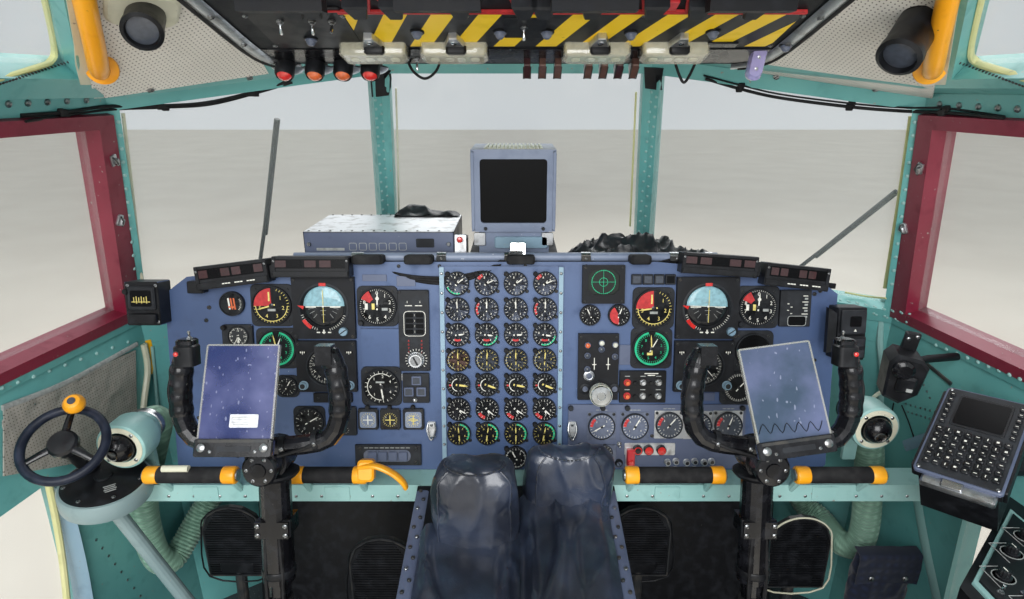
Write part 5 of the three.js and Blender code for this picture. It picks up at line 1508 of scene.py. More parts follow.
for side in (-1, 1):
    for wide, out, made in ((26, 0, ALUMINIUM), (9, 15, RUBBER)):
        path = smooth_path([(-side * (x - out * 0.9), y - out * 0.3, 2 + out * 0.2) for x, y in edge], 6)
        over.add(tube(path, wide / 2, 8, flat=0.25, up=(0, 0, 1)), made, OVER)
    over.screws(OVER, 10, 5, [(-side * x, y) for x, y in ((-426, 300), (-426, 200), (-424, 100),
        (-410, 22))], STEEL)
for k, (px, glow) in enumerate(((286, LAMP_RED), (316, LAMP_ORANGE), (344, LAMP_ORANGE), (371, LAMP_RED))):
    root = shift(*at_depth(px, 61, 234)) @ OVER.to_3x3().to_4x4() @ Matrix.Scale(1.3, 4)
    here = root @ spin(-18, "X") @ shift(0, 0, -14)
    over.put(here, (SATIN_BLACK, 0, 0, [(13, -6), (13, 10), (11, 14), (12.5, 16), (12.5, 34), (10.5, 38),
        (9.5, 36)], 24), (glow, 0, 0, [(9.6, 30), (9.4, 37), (6, 40.5), (0, 42)], 20),
        (CHROME if k == 2 else STEEL_DARK, 0, 0, [(15, 13), (15.4, 14.5), (15, 17.5), (12.4, 18)], 24))
    over.add(tube([(17 * cos(a), 17 * sin(a), 18) for a in [radians(200 + 14 * i) for i in range(11)]], 7, 6,
        flat=0.2, up=(0, 0, 1)), ALUMINIUM, here)
for i in range(8):
    px = 527 + 15.2 * i
    if i == 3:
        continue
    here = shift(*at_depth(px, 60, 232)) @ OVER.to_3x3().to_4x4() @ spin(-16, "X")
    over.add(block(11, 40, -12, 24, 1.5, 1.5), FACE_BROWN if i % 3 else FACE_BURNT, here)
    over.add(tube([(-6, 12, 22), (-6, -16, 25), (6, -16, 25), (6, 12, 22)], 1.2, 6), STEEL_DARK, here)
over.add(block(196, 26, -14, -6, 3, 1), GLOSS_BLACK, shift(*at_depth(580, 58, 236)) @ OVER.to_3x3().to_4x4())
for px in (285, 304, 350, 386, 452, 516, 536, 584, 646, 690, 746):
    here = on_plane(px + 8, 3, OVER, 0)
    over.add(plate([(-17, 20), (-9, -16), (9, -16), (17, 20)], 0, 17, 3), CASE_GREY, here)
    over.add(plate([(-21, 22), (-12, -20), (12, -20), (21, 22)], 0, 4, 1), MARK_RED, here)
for px in (692, 749):
    over.add(block(22, 26, 0, 5, 2, 1), RED, on_plane(px - 22, 3, OVER))
here = frame_at(at_depth(759, 51, 190), (-0.1, -1, 0), (0.14, 0, 1))
over.add(block(24, 92, -8, 12, 10, 5), clear("switch_guard_violet", "#a49ad0", 0.62, 0.12), here)
over.put(here, *((STEEL, 0, y, [(4, -8), (4, 11.6), (0, 12.8)], 10) for y in (-28, -10, 8, 26)),
    (SATIN_BLACK, 0, 38, 32, 22, -16, 10, 3, 2))
over.add(block(48, 15, 2, 6, 2, 1), GLOSS_BLACK, on_plane(722, 42, OVER))
for x0, x1, py in ((406, 442, 58), (674, 697, 62)):
    ends = [at_depth(px, py, 232) for px in (x0, x0 + 6, (x0 + x1) / 2, x1 - 6, x1)]
    over.add(tube(smooth_path([p + Vector((0, 0, d)) for p, d in zip(ends, (4, -20, -33, -20, 6))]), 2.4, 8),
        RUBBER)
over.make("black_parts")

wires = Piece("windshield_rail_wiring")
RAIL = ("windshield_frame", "glass_front_left", "glass_front_right", "window_seal_left", "window_seal_right")
for line, wide in (([(20, 118), (60, 112), (104, 106), (160, 105), (205, 102), (250, 92), (290, 80)], 7),
        ([(24, 121), (64, 115), (110, 109), (165, 107), (210, 104), (255, 93), (292, 82)], 5),
        ([(706, 78), (740, 88), (780, 97), (850, 106), (900, 110), (945, 112), (1004, 120)], 7),
        ([(704, 75), (742, 85), (782, 94), (852, 103), (902, 107), (948, 108), (1006, 116)], 4)):
    spots = [seen(px, py, *RAIL) for px, py in line]
    wires.add(tube(smooth_path([p + n * (wide / 2 + 0.6) for p, n in spots], 8), wide / 2, 8), CABLE_BLACK)
    for p, n in spots[1:-1:2]:
        wires.add(block(14, wide + 6, -3, wide + 3, 2, 1), RUBBER, frame_at(p, n))
wires.make("black_parts")

# %% [markdown]
# The yokes are bent tube with black moulded grips, and each carries a chart board: a scratched acrylic
# sheet on a sprung clip. These parts turn with the yoke, so they ride its body and are drawn in its own
# directions: X across, Y forward and Z up the column, from the middle of the hub.

# %% Yokes and columns
COLUMN_X, PIVOT_Y, PIVOT_Z, LEAN = 456, -62, 135, radians(-11.5)
for side, sign, roll, over_x in (("left", -1, 0, -14), ("right", 1, -0.13, 0)):
    column_frame = shift(sign * COLUMN_X, PIVOT_Y, PIVOT_Z) @ Matrix.Rotation(LEAN, 4, "X")
    yoke = column_frame @ shift(0, 0, 790)
    head = Piece(f"yoke_switches_{side}", f"yoke_{side}")
    for out in (-1, 1):
        horn = yoke @ shift(out * 121, -34, 207)
        if out == sign:
            head.add(block(36, 34, -19, 20, 8, 5), PHENOLIC, horn)
            head.add(block(30, 30, -2, 9, 6, 3), GLOSS_BLACK, horn @ shift(0, 2, 19))
            toggle(head, horn @ shift(-6 * out, 0, 27), 11, 14, STEEL)
            lamp(head, horn @ shift(9 * out, -15, 4) @ spin(90, "X"), 11, 8, LAMP_RED)
        else:
            head.put(yoke @ shift(out * 125, -26, 208) @ spin(-16 * out, "Y"),
                (GLOSS_BLACK, 0, 0, [(18.8, -22), (19.2, -6), (18, 2), (13, 8), (6, 10.4), (0, 11)], 28))
            head.add(block(20, 9, -2, 4, 2, 1), STEEL_DARK, horn @ shift(2 * out, 5, 12))
        head.add(tube(smooth_path([(out * x, -26, z) for x, z in ((141, 96), (142, 124), (140, 154),
            (136, 184))]), lambda t: 19.8 - 0.7 * cos(t * 8 * pi), 18), GLOSS_BLACK, yoke)
        head.add(tube(smooth_path([(out * x, y, z) for x, y,
            z in ((130, -26, 188), (150, -40, 160), (154, -36, 120), (134, -30, 70), (90, -46, 44),
            (34, -46, 26))]), 3.2, 8), CABLE_BLACK, yoke)
        for x, z in ((40, 38), (98, 47)):
            head.add(tube([(out * (x - 5), -26, z - 1), (out * (x + 5), -26, z + 1)], 19.6, 18), SATIN_BLACK,
                yoke)
            head.screws(yoke @ shift(out * x, -45, z) @ spin(90, "X"), 8, 0, [(0, 0)], STEEL)
    cap = yoke @ shift(0, -44, 0) @ spin(90, "X")
    head.add(lathe([(31.6, -8), (31.6, 0), (28, 4), (14, 5.5), (13, 9), (0, 9.5)], 32), GLOSS_BLACK, cap)
    for k in range(6):
        head.screws(cap @ spin(60 * k), 7, 4, [(22, 0)], STEEL)
    head.make("yoke_grip")

    board = Piece(f"chart_board_clip_{side}", f"yoke_{side}")
    here = yoke @ shift(over_x, -76, 144) @ spin(-19.5, "X") @ Matrix.Rotation(roll, 4, "Y")
    face = here @ spin(90, "X")
    board.put(face, (GLOSS_BLACK, 0, -86, 131, 30, 2.4, 7, 4, 1.6), (STEEL_DARK, 0, -75, 118, 5, 6, 9, 1, 1))
    for x in (-52, 52):
        board.put(face, (STEEL, x, -86, [(7, 6), (7, 9.5), (4, 11), (0, 11.4)], 16))
        board.screws(face, 6, 6.6, [(x * 0.72, -92)], STEEL)
    board.put(face, (CASE_GREY, 2, -88, 56, 9, 6.6, 7.6, 2, 0.3),
        *((LENS, x, 1, 3, 172, -3.4, 3.6, 1, 0.8) for x in (-61.5, 61.5)),
        (LENS, 0, 86.6, 123, 3, -3.4, 3.6, 1, 0.8))
    if side == "left":
        board.put(face, (PAPER, 13, -42, 48, 22, 2.6, 3.5, 2, 0.1),
            *((MARK_DIM, 8, -36 - 4 * k, 30 - 5 * (k % 2), 0.9, 3.3, 3.7, 0, 0) for k in range(4)))
    else:
        smear = [(-58 + 10 * k, -50 + (9 if k % 2 else -7) - 0.7 * k, 3.5) for k in range(12)]
        board.add(tube(smooth_path(smear, 3), 1.7, 6, flat=0.3, up=(0, 1, 0)), CASE_GREY, face)
    board.make("acrylic")

    column = Piece(f"column_clamps_{side}", f"column_{side}")
    for z, r, tall in ((556, 30.6, 14), (748, 31, 16), (640, 23.5, 4), (300, 22.6, 10), (120, 22.6, 12)):
        column.put(column_frame @ shift(0, 22, z), (SATIN_BLACK, 0, 0,
            [(r, 0), (r + 1, 2), (r + 1, tall - 2), (r, tall)], 28))
    column.add(block(66, 36, -7.6, 0, 3, 1.6), SATIN_BLACK, column_frame @ shift(0, 0, 656) @ spin(90, "X"))
    for x in (-26, 26):
        for z in (647, 665):
            column.screws(column_frame @ shift(x, -7, z) @ spin(90, "X"), 9, 0, [(0, 0)], STEEL)
    for x0 in (-12, 12):
        loom = [(x0, -1, 640), (x0 * 1.3, -2, 560), (x0 * 1.1, 0, 420), (x0 * 1.5, -1, 280), (x0, 2, 160),
            (x0 * 2, -8, 30)]
        column.add(tube(smooth_path(loom, 8), 4.2, 8), CABLE_BLACK, column_frame)
    for z in (500, 390, 250):
        column.add(lathe([(26, 0), (26.6, 2), (26.6, 9), (26, 11)], 24), RUBBER,
            column_frame @ shift(0, 17, z))
    column.put(column_frame @ shift(0, 22, 748), (SATIN_BLACK, 0, 0,
        [(28, 0), (40, 4), (45, 10), (45, 14), (30, 20)], 28))
    column.make("black_metal")

# %% [markdown]
# Footrest bars cross under the panel: a black rubber grip between two orange sleeves on each. The rudder
# pedals are cast plates with fine cross ribs and a worn, pale edge, and each rides its own body.

# %% Footrests and pedals
rests = Piece("footrest_grips")
for a, b in ((-758, -579), (-459, -311), (229, 424), (579, 752)):
    rests.add(tube([(a + 18, 200, 808), (b - 18, 200, 808)], 16.8, 20), RUBBER)
    for x, out in ((a, -1), (b, 1)):
        here = frame_at((x + 4 * out, 200, 808), (-out, 0, 0))
        rests.add(lathe([(15, -1), (17.6, 1), (18.4, 4), (18, 25), (17, 27), (16, 27)], 24), GUARD_YELLOW,
            here)
        rests.add(lathe(disc(12, -4, 1), 16), STEEL, here)
rests.add(tube([(-722, 195, 826), (-668, 194, 827)], 7, 14), CREAM)
lever = [(-318, 196, 830), (-286, 190, 836), (-252, 184, 824), (-232, 182, 806), (-226, 186, 790)]
rests.add(tube(smooth_path(lever, 6), 11, 14, flat=0.55), GUARD_YELLOW)
rests.add(block(34, 44, -10, 12, 8, 4), GUARD_YELLOW, frame_at((-306, 196, 822), (0, -1, 0.4)))
for x in range(-860, 900, 55):
    if abs(x) > 235:
        rests.screws(frame_at((x, 240, 728), (0, -1, 0)), 7, 0, [(0, 0)], STEEL)
for x in (-668, -385, 326, 665):
    rests.add(block(54, 32, 0, 2.4, 3, 0.8), TEAL_PALE, frame_at((x, 240, 736), (0, -1, 0)))
rests.make("yellow")

for side, place, x, y in (("left", "outboard", -720, 410), ("left", "inboard", -317, 295),
        ("right", "inboard", 317, 410), ("right", "outboard", 703, 370)):
    name = f"pedal_{side}_{place}"
    pedal = Piece(f"{name}_tread", name)
    outline = [(x - 77.5, 360), (x + 77.5, 360), (x + 77.5, 505), (x + 62, 545), (x + 32, 566), (x, 572),
        (x - 32, 566), (x - 62, 545), (x - 77.5, 505)]
    here = Matrix(((1, 0, 0, 0), (0, 0, -1, y), (0, 1, 0, 0), (0, 0, 0, 1)))
    trim_path = [here @ Vector((px, py, 0.5)) for px, py in outline]
    pedal.add(tube(smooth_path(trim_path, 4, True), 2.2, 8, closed=True),
        CREAM if name == "pedal_right_outboard" else SATIN_BLACK)
    inside = [(x + (px - x) * 0.955, 464 + (py - 464) * 0.955) for px, py in outline]
    pedal.add(plate(inside, 0.2, 2.4, 1), SATIN_BLACK, here)
    for k in range(27):
        z = 370 + 7.2 * k
        half = 70 if z < 500 else 70 - (z - 500) * 0.62
        pedal.put(here, (SATIN_BLACK, x, z, 2 * half, 3.6, 1.8, 5, 1, 1.4))
    pedal.put(here, (PHENOLIC, x, 392, 86, 26, 3, 6, 5, 1))
    pedal.make("pedal_metal")

# %% [markdown]
# The nose steering wheel stands on a domed head by the left wall. Its rim and the three spokes are black
# moulding and its knob is yellow. The head is a casting: a dull black dome screwed onto a grey-green rim.

# %% Steering wheel and its stand
WHEEL, DOWN = Vector((-850, 122, 927)), Vector((-0.2, 0.62, -0.757)).normalized()
at_wheel = frame_at(WHEEL, -DOWN)
wheel = Piece("steering_wheel_dressing", "steering_wheel")
wheel.add(tube([(70 * cos(2 * pi * k / 48), 70 * sin(2 * pi * k / 48), 0) for k in range(48)], 8.6, 14,
    closed=True), NAVY_BLACK, at_wheel)
for turn in (84, 204, 324):
    spoke = at_wheel @ spin(turn)
    wheel.add(tube([(12, 0, 6), (40, 0, 4), (66, 0, 0)], lambda t: 8 - 2 * t, 12, flat=0.6, up=(0, 0, 1)),
        GLOSS_BLACK, spoke)
wheel.add(lathe([(24, -10), (26, -4), (26, 8), (22, 13), (9, 15), (0, 15.4)], 32), PHENOLIC, at_wheel)
post = at_wheel @ spin(72) @ shift(69, 0, 0)
wheel.put(post, (GUARD_YELLOW, 0, 0, [(5, 0), (5, 16), (14, 20), (19, 29), (18.6, 37), (13, 45), (5, 47.4),
    (0, 47.6)], 28), (FACE_GREY, 0, 0, [(7, 46.4), (7, 48.2), (0, 48.4)], 20))
wheel.add(lathe([(16.5, -150), (16.5, -8), (12, -4)], 20), SATIN_BLACK, at_wheel)
wheel.make("black_metal", "steering_wheel")

stand = Piece("steering_head_dome")
axis = frame_at((-842, 190, 800), (3, -4, 32))
stand.put(axis, (GREY_GREEN, 0, 0, [(83, -36), (84.5, -30), (84.5, -4), (81, 2), (76, 3.5)], 48),
    (SATIN_BLACK, 0, 0, [(77, -2), (77, 4), (68, 9), (40, 13), (17, 14), (16, 18), (0, 18)], 48))
for k in range(7):
    stand.screws(axis @ spin(22 + 51 * k), 8, 8.6, [(69, 0)], STEEL)
stand.put(axis, *((MARK_DIM, 6, -36 - 5.5 * k, 22 - 3 * (k % 2), 2.2, 13.2, 14, 0, 0) for k in range(4)))
stand.make("black_parts")

# %% [markdown]
# The throttle and flap levers are hooded in glossy navy-black leathercloth. Each hood starts as a lofted
# shell. It is remeshed to 5 mm squares, blown up a little by Blender's cloth, with its foot pinned and no
# point let further than the cap, and smoothed once. Slow noise stretched along the cloth's hang gives the
# creases.


# %% Soft goods
def mesh_object(name, form):
    mesh = bpy.data.meshes.new(name)
    mesh.from_pydata([Vector(p) * MM for p in form[0]], [], form[1])
    obj = bpy.data.objects.new(name, mesh)
    scene.collection.objects.link(obj)
    return obj


def settle(obj):
    """Makes the result of the modifiers the object's own mesh."""
    made = bpy.data.meshes.new_from_object(obj.evaluated_get(bpy.context.evaluated_depsgraph_get()))
    obj.modifiers.clear()
    obj.data = made


def swollen(name, form, cap, made, folds=5.0, run=(1, 1, 0.35), grain=60, foot=None):
    obj = mesh_object(name, form)
    remesh = obj.modifiers.new("squares", "REMESH")
    remesh.mode, remesh.voxel_size = "VOXEL", 5 * MM
    settle(obj)
    if foot is not None:
        held = obj.vertex_groups.new(name="foot")
        held.add([v.index for v in obj.data.vertices if v.co.z < foot * MM], 1.0, "REPLACE")
    cloth = obj.modifiers.new("cloth", "CLOTH").settings
    cloth.use_pressure, cloth.uniform_pressure_force = True, 4.0
    cloth.effector_weights.gravity = 0
    if foot is not None:
        cloth.vertex_group_mass = "foot"
    start = [v.co.copy() for v in obj.data.vertices]
    for step in range(1, 21):
        scene.frame_set(step)
    blown = [v.co.copy() for v in obj.evaluated_get(bpy.context.evaluated_depsgraph_get()).data.vertices]
    obj.modifiers.clear()
    scene.frame_set(1)
    for v, a, b in zip(obj.data.vertices, start, blown):
        far = (b - a).length
        v.co = a + (b - a) * min(1.0, cap * MM / max(far, 1e-9))
    normals = [n.vector.copy() for n in obj.data.vertex_normals]
    for v, n in zip(obj.data.vertices, normals):
        at = Vector([c / (grain * MM) * k for c, k in zip(v.co, run)])
        crease = 1 - abs(noise.noise(at)) * 3.2
        v.co += n * (folds * MM * (max(0, crease) ** 2 - 0.4 + 0.5 * noise.noise(at * 2.3)))
    obj.modifiers.new("smooth", "SUBSURF").levels = 1
    settle(obj)
    obj.data.materials.clear()
    obj.data.materials.append(made)
    obj.data.polygons.foreach_set("use_smooth", [True] * len(obj.data.polygons))
    return obj


def soft_piece(obj, slot, *replaced, fill=None):
    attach(obj, "deck")
    if replaced:
        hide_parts(*replaced)
    print(obj.name, len(obj.data.polygons), "faces")


def hood_form(x0, x1, y0, y1, z0, z1):
    """A hood's shell: rounded rectangles that narrow to a crowned top."""
    levels = [(0, 0.9, 0.92), (0.12, 0.94, 0.97), (0.4, 0.97, 0.97), (0.7, 0.96, 0.9), (0.86, 0.91, 0.8),
        (0.96, 0.8, 0.64), (1.0, 0.58, 0.4)]
    points, turns = [], 40
    for share, wide, deep in levels:
        for k in range(turns):
            c, s = cos(2 * pi * k / turns), sin(2 * pi * k / turns)
            points.append(((x0 + x1) / 2 + (x1 - x0) / 2 * wide * abs(c) ** 0.5 * (1 if c > 0 else -1),
                (y0 + y1) / 2 + (y1 - y0) / 2 * deep * abs(s) ** 0.6 * (1 if s > 0 else -1),
                z0 + (z1 - z0) * share))
    return points, capped(len(levels), turns)


def pedestal_top(x, y):
    hit = trees["pedestal"].ray_cast(Vector((x, y, 1200)), Vector((0, 0, -1)))[0]
    return hit.z if hit else 660


# %% Leather covers on the pedestal
for name, x0, x1, y0, y1, top, left, right, tuck in (
    ("throttle_cover", -160, 6, 54, 152, 912, -182, 6, 100),
    ("flap_cover", 12, 202, 150, 234, 886, 8, 186, 190),
):
    hood = swollen(f"{name}_hood", hood_form(x0, x1, y0, y1, pedestal_top(x0 + 60, y0) - 4, top - 6), 9,
        LEATHER, 5.5, (1, 1, 0.4), 70, pedestal_top(x0 + 60, y0) + 12)
    tree = tree_of(hood)
    soft_piece(hood, "leather", name, fill=0.5)
    seams = Piece(f"{name}_seams")
    middle = Vector(((x0 + x1) / 2, (y0 + y1) / 2, top - 46))
    round_way = [radians(-150 + 10 * k) for k in range(31)]
    lines = [[Vector((0.86 * sin(a), -0.62 * cos(a) if abs(a) < 1.6 else 0.62, 0.52)) for a in round_way]]
    lines += [[Vector((x, -0.42, 0.5 - 0.13 * k)) for k in range(17)] for x in (-0.8, 0.8)]
    for line in lines:
        spots = [tree.ray_cast(middle + Vector((0, 0, -60 * max(0, -d.z))), d)[:2] for d in line]
        path = [p + n * 0.6 for p, n in spots if p]
        if len(path) > 4:
            seams.add(tube(smooth_path(path, 4), 2.1, 6), LEATHER)
            for a, b in zip(path, path[1:]):
                seams.add(tube([a.lerp(b, 0.2) + (a - middle).normalized() * 2,
                    a.lerp(b, 0.7) + (b - middle).normalized() * 2], 0.9, 5), STEEL_DARK)
    seams.make("leather")
    rows = []
    for j in range(61):
        share = j / 60
        y = tuck + (-300 - tuck) * share
        row = []
        for i in range(41):
            across = i / 40
            x = left + (right - left) * across
            fan = noise.noise(Vector((across * 3.1 + x0, share * 1.6, 0.5)))
            ridge = (1 - min(1, abs(fan) * 3.4)) ** 2
            lift = 5 + 19 * ridge + 7 * noise.noise(Vector((x / 60, y / 90, 2.2)))
            lift += 16 * max(0, 1 - share * 7) + 9 * sin(pi * across) ** 0.5
            lift *= 0.35 + 0.65 * min(1, across * 9, (1 - across) * 9)
            row.append((x, y, pedestal_top(x, y) + max(3.5, lift)))
        rows.append(row)
    cloth_sheet(f"{name}_skirt", rows, 2.5, LEATHER, "leather", "laid", ["pedestal"], name)

# %% [markdown]
# A creased black cover cloth lies on the coaming behind the radio box and to the right of the display. At
# the right wall a navy cloth bag hangs under the console, with a flap over its mouth.

# %% Cover cloths and bag
def top_of(x, y):
    """The height of what carries a cover cloth at a point of the plan."""
    down = Vector((0, 0, -1))
    hits = [trees[on].ray_cast(Vector((x, y, 1420)), down)[0] for on in ("coaming", "radio_box")]
    return max([h.z for h in hits if h] + [1120])


for name, x0, x1, y0, y1, high, seed, on in (
    ("cover_cloth_left", -300, -140, 610, 700, 26, 1.7, "radio_box"),
    ("cover_cloth_right", 108, 480, 424, 640, 74, 6.3, "coaming"),
):
    rows = []
    for j in range(33):
        row = []
        for i in range(61):
            u, v = i / 60, j / 32
            x, y = x0 + (x1 - x0) * u, y0 + (y1 - y0) * v
            bump = 1 - min(1, 2.6 * abs(noise.noise(Vector((x / 58, y / 44, seed)))))
            edge = min(1, 5 * u, 2.2 * (1 - u), 5 * v + 0.1, 3 * (1 - v) + 0.1)
            lift = high * (0.3 + 0.7 * bump ** 1.3) * edge ** 0.6
            row.append((x, y, top_of(x, y) + 2.5 + max(0, lift)))
        rows.append(row)
    cloth_sheet(name, rows, 1.5, CANVAS_BLACK, "black_parts", "laid", [on])


def bag_form():
    points, turns = [], 32
    levels = ((0, 0.8, 0.4), (0.1, 0.95, 0.8), (0.35, 1, 1), (0.7, 0.97, 0.85), (1, 0.94, 0.4))
    for share, wide, deep in levels:
        for k in range(turns):
            c, s = cos(2 * pi * k / turns), sin(2 * pi * k / turns)
            points.append((882 + 74 * wide * abs(c) ** 0.5 * (1 if c > 0 else -1), 322 + 25 * deep * s,
                338 + 180 * share))
    return points, capped(len(levels), turns)


bag = swollen("stowage_bag", bag_form(), 6, POUCH_CLOTH, 4.0, (1, 1, 0.6), 55, 330)
soft_piece(bag, "pouch", "stowage_pouch", fill=0.3)
rows = [[(808 + 148 * i / 24,
          322 - 28 * sin(min(1, j / 8) * pi / 2) - 3 * noise.noise(Vector((i / 5, j / 6, 0))),
          524 + 3 * cos(j / 3) - 4.2 * max(0, j - 6) - 6 * (i / 12 - 1) ** 2 * (j / 24))
         for i in range(25)] for j in range(25)]
snap = lathe([(7, 0), (7, 2), (4, 4), (0, 4.4)], 16)
cloth_sheet("stowage_bag_flap", rows, 2, POUCH_CLOTH, "pouch", "hung", ["stowage_bag"],
    fasteners=[(snap, STEEL, frame_at((x, 290, 462), (0, -1, 0))) for x in (842, 922)])

# %% [markdown]
# The air outlets at the ends of the panel are pale castings with a black eyeball in a cream ring. The hoses
# drawn first leave them at the back. Behind the wheel the wall is lined with a grey perforated blanket,
# piped at its edge.

# %% Air outlets, wall linings and ribs
for side, (x, y, z), bracket_foot in (("left", (-800, 200, 874), 757), ("right", (762, 262, 880), 757)):
    outlet = Piece(f"air_outlet_face_{side}")
    here = frame_at((x, y, z), (0, -1, 0))
    outlet.put(here, (TEAL_PALE, 0, 0, [(34, -96), (35, -62), (47, -60), (50, -52), (50.5, -4), (49, 0.5),
        (45, 3), (33, 3.4), (31, 0), (31, -12)], 44),
        (CREAM, 0, 0, [(44.6, 2.6), (44, 4.2), (34, 4.6), (33, 2.6)], 40))
    outlet.add(lathe([(30.4 * sin(a), 30.4 * cos(a)) for a in [radians(100 - 7.4 * k) for k in range(12)]]
        + [(9, 22), (0, 22)], 32), GLOSS_BLACK, here)
    outlet.add(lathe([(11.5, 27.8), (11, 29.6), (8.4, 28.8), (8, 22)], 24), STEEL, here @ spin(12, "X")
        @ spin(-8, "Y"))
    for k in range(4):
        outlet.screws(here @ spin(45 + 90 * k), 8, 4, [(39, 0)], STEEL)
    outlet.put(here, (STEEL, 0, 0, [(33.5, -100), (36.5, -98), (36.5, -86), (33.5, -84)], 32),
        (TEAL_PALE, 0, (bracket_foot - z - 24) / 2, 30, z - 24 - bracket_foot, -84, -74, 2, 1))
    outlet.make("green_paint", f"air_outlet_{side}")

WALL_LEFT = ("hull_wall_left", "nose_wall", "windshield_frame", "glass_foot_left")
WALL_RIGHT = ("hull_wall_right", "nose_wall", "windshield_frame", "glass_foot_right")
walls = Piece("wall_ribs_and_pipes")
for line, wide, thick, made, names in (
    ([(58, 486), (70, 530), (80, 574), (86, 620)], 44, 8, BLUE_LIGHT, WALL_LEFT),
    ([(46, 480), (55, 524), (62, 570), (67, 620)], 14, 14, PUTTY, WALL_LEFT),
    ([(142, 344), (146, 368), (143, 396), (139, 432)], 17, 15, CREAM, WALL_LEFT),
    ([(148, 340), (151, 356), (149, 374)], 13, 3, STRAP_YELLOW, WALL_LEFT),
    ([(152, 346), (156, 400), (160, 455)], 8, 8, TEAL_PALE, WALL_LEFT),
    ([(1, 408), (66, 382), (136, 344)], 12, 8, MARK_DIM, WALL_LEFT),
    ([(884, 300), (880, 340), (884, 380), (878, 440)], 15, 12, TEAL_PALE, WALL_RIGHT),
    ([(912, 352), (930, 366), (952, 384)], 10, 6, STEEL_DARK, WALL_RIGHT),
    ([(905, 446), (935, 436), (960, 432)], 26, 5, BLUE_LIGHT, WALL_RIGHT),
    ([(918, 500), (926, 545), (938, 600)], 30, 8, TEAL_PALE, WALL_RIGHT),
    ([(894, 403), (890, 424), (886, 444)], 3.4, 3, RUBBER, WALL_RIGHT),
    ([(902, 405), (909, 422), (915, 440)], 3.4, 3, RUBBER, WALL_RIGHT),
):
    strip_on(walls, names, line, wide, thick, made, thick * 0.3)
for start, end, count, wide, names in (((62, 492), (88, 608), 12, 8, WALL_LEFT),
        ((906, 404), (935, 412), 7, 6, WALL_RIGHT), ((908, 412), (934, 420), 7, 6, WALL_RIGHT),
        ((922, 506), (938, 596), 9, 7, WALL_RIGHT), ((918, 372), (930, 398), 5, 6, WALL_RIGHT),
        ((96, 540), (140, 596), 8, 7, WALL_LEFT)):
    rivets(walls, names, start, end, count, wide, STEEL)
walls.make("green_paint")

cloth_sheet("wall_blanket", seen_rows(WALL_LEFT, ((2, 476), (136, 452), (134, 350), (2, 410)), (24, 14),
    4.5), 3, BLANKET, "skin", "stretched", ["hull_wall_left"])

# %% [markdown]
# By the right window a reading lamp hangs in a wedge-shaped black case. Below it the keypad unit has a dark
# screen over five rows of square keys with pale marks, held by a sprung clip, and the side console has
# black panels in a pale rounded border.

# %% Reading lamp, keypad and side console
reading = Piece("reading_lamp")
here = frame_at((790, 258, 1004), (-0.25, -0.9, -0.1), (0.1, 0, 1)) @ Matrix.Diagonal((1.2, 1.15, 1.15, 1))
reading.add(plate([(-22, -40), (6, -50), (30, -26), (32, 28), (18, 42), (-20, 46), (-30, 30)], -30, 16, 5),
    SATIN_BLACK, here)
reading.put(here, (PHENOLIC, 4, -6, 30, 32, 14, 24, 5, 4), (MARK_DIM, 10, -14, 10, 7, 22, 25, 1, 1))
reading.add(lathe([(17, 0), (17, 12), (12, 16), (0, 16)], 24), GLOSS_BLACK, here @ shift(-8, 22, 12))
reading.put(here, (SATIN_BLACK, 4, 54, 24, 44, -30, -22, 3, 2))
reading.screws(here, 7, -22, ((-2, 64), (10, 70)), STEEL)
reading.add(tube([(806, 276, 1024), (868, 300, 1024), (936, 312, 1024)], 8.4, 14), SATIN_BLACK)
reading.add(tube(smooth_path([(794, 256, 968), (806, 300, 944), (800, 330, 930), (790, 346, 900)]), 4, 8),
    CREAM)
reading.make("black_parts", "map_lamp")

KEY = frame_at((833, 93, 956), (-0.399, -0.287, 0.871), (0.621, 0.614, 0.487))
keys = Piece("keypad_face")
keys.put(KEY, (BLUE_GREY, 0, 0, 134, 207, -1, 7, 7, 2), (CASE_GREY, 0, 0, 126, 199, 6, 9, 6, 1),
    (SATIN_BLACK, 0, 50, 84, 76, 8, 10, 5, 0.5), (SCREEN, 0, 50, 76, 66, 9.4, 10.6, 3, 0.2))
for row in range(6):
    for col in range(8):
        spot = KEY @ shift(-52 + 14.8 * col, -3 - 15.2 * row, 8)
        keys.add(block(11.6, 11.6, 0, 4.2, 2.4, 1.2), PHENOLIC, spot)
        shape = ((5, 1.2), (1.3, 5), (4, 3.4), (3, 1.3))[(row * 3 + col * 5) % 4]
        keys.put(spot, (MARK, 0, 0.4, *shape, 4, 4.6, 0, 0))
for side in (-1, 1):
    for k in range(6):
        keys.put(KEY, (PHENOLIC, side * 53.5, 84 - 13.6 * k, 9, 9.4, 8, 12, 2, 1),
            (MARK, side * 53.5, 84 - 13.6 * k, 4, 1, 11.8, 12.3, 0, 0))
keys.screws(KEY, 7, 8, ((-59, 96), (59, 96), (-59, -96), (59, -96)), STEEL)
keys.put(KEY, (ALUMINIUM, 4, -107, 112, 26, -14, -1, 4, 3), (STEEL, -4, -108, 34, 20, -3, 4, 3, 2),
    *((SATIN_BLACK, side * 68, 0, 7, 190, -24, 3, 2, 2) for side in (-1, 1)))
keys.make("black_parts")

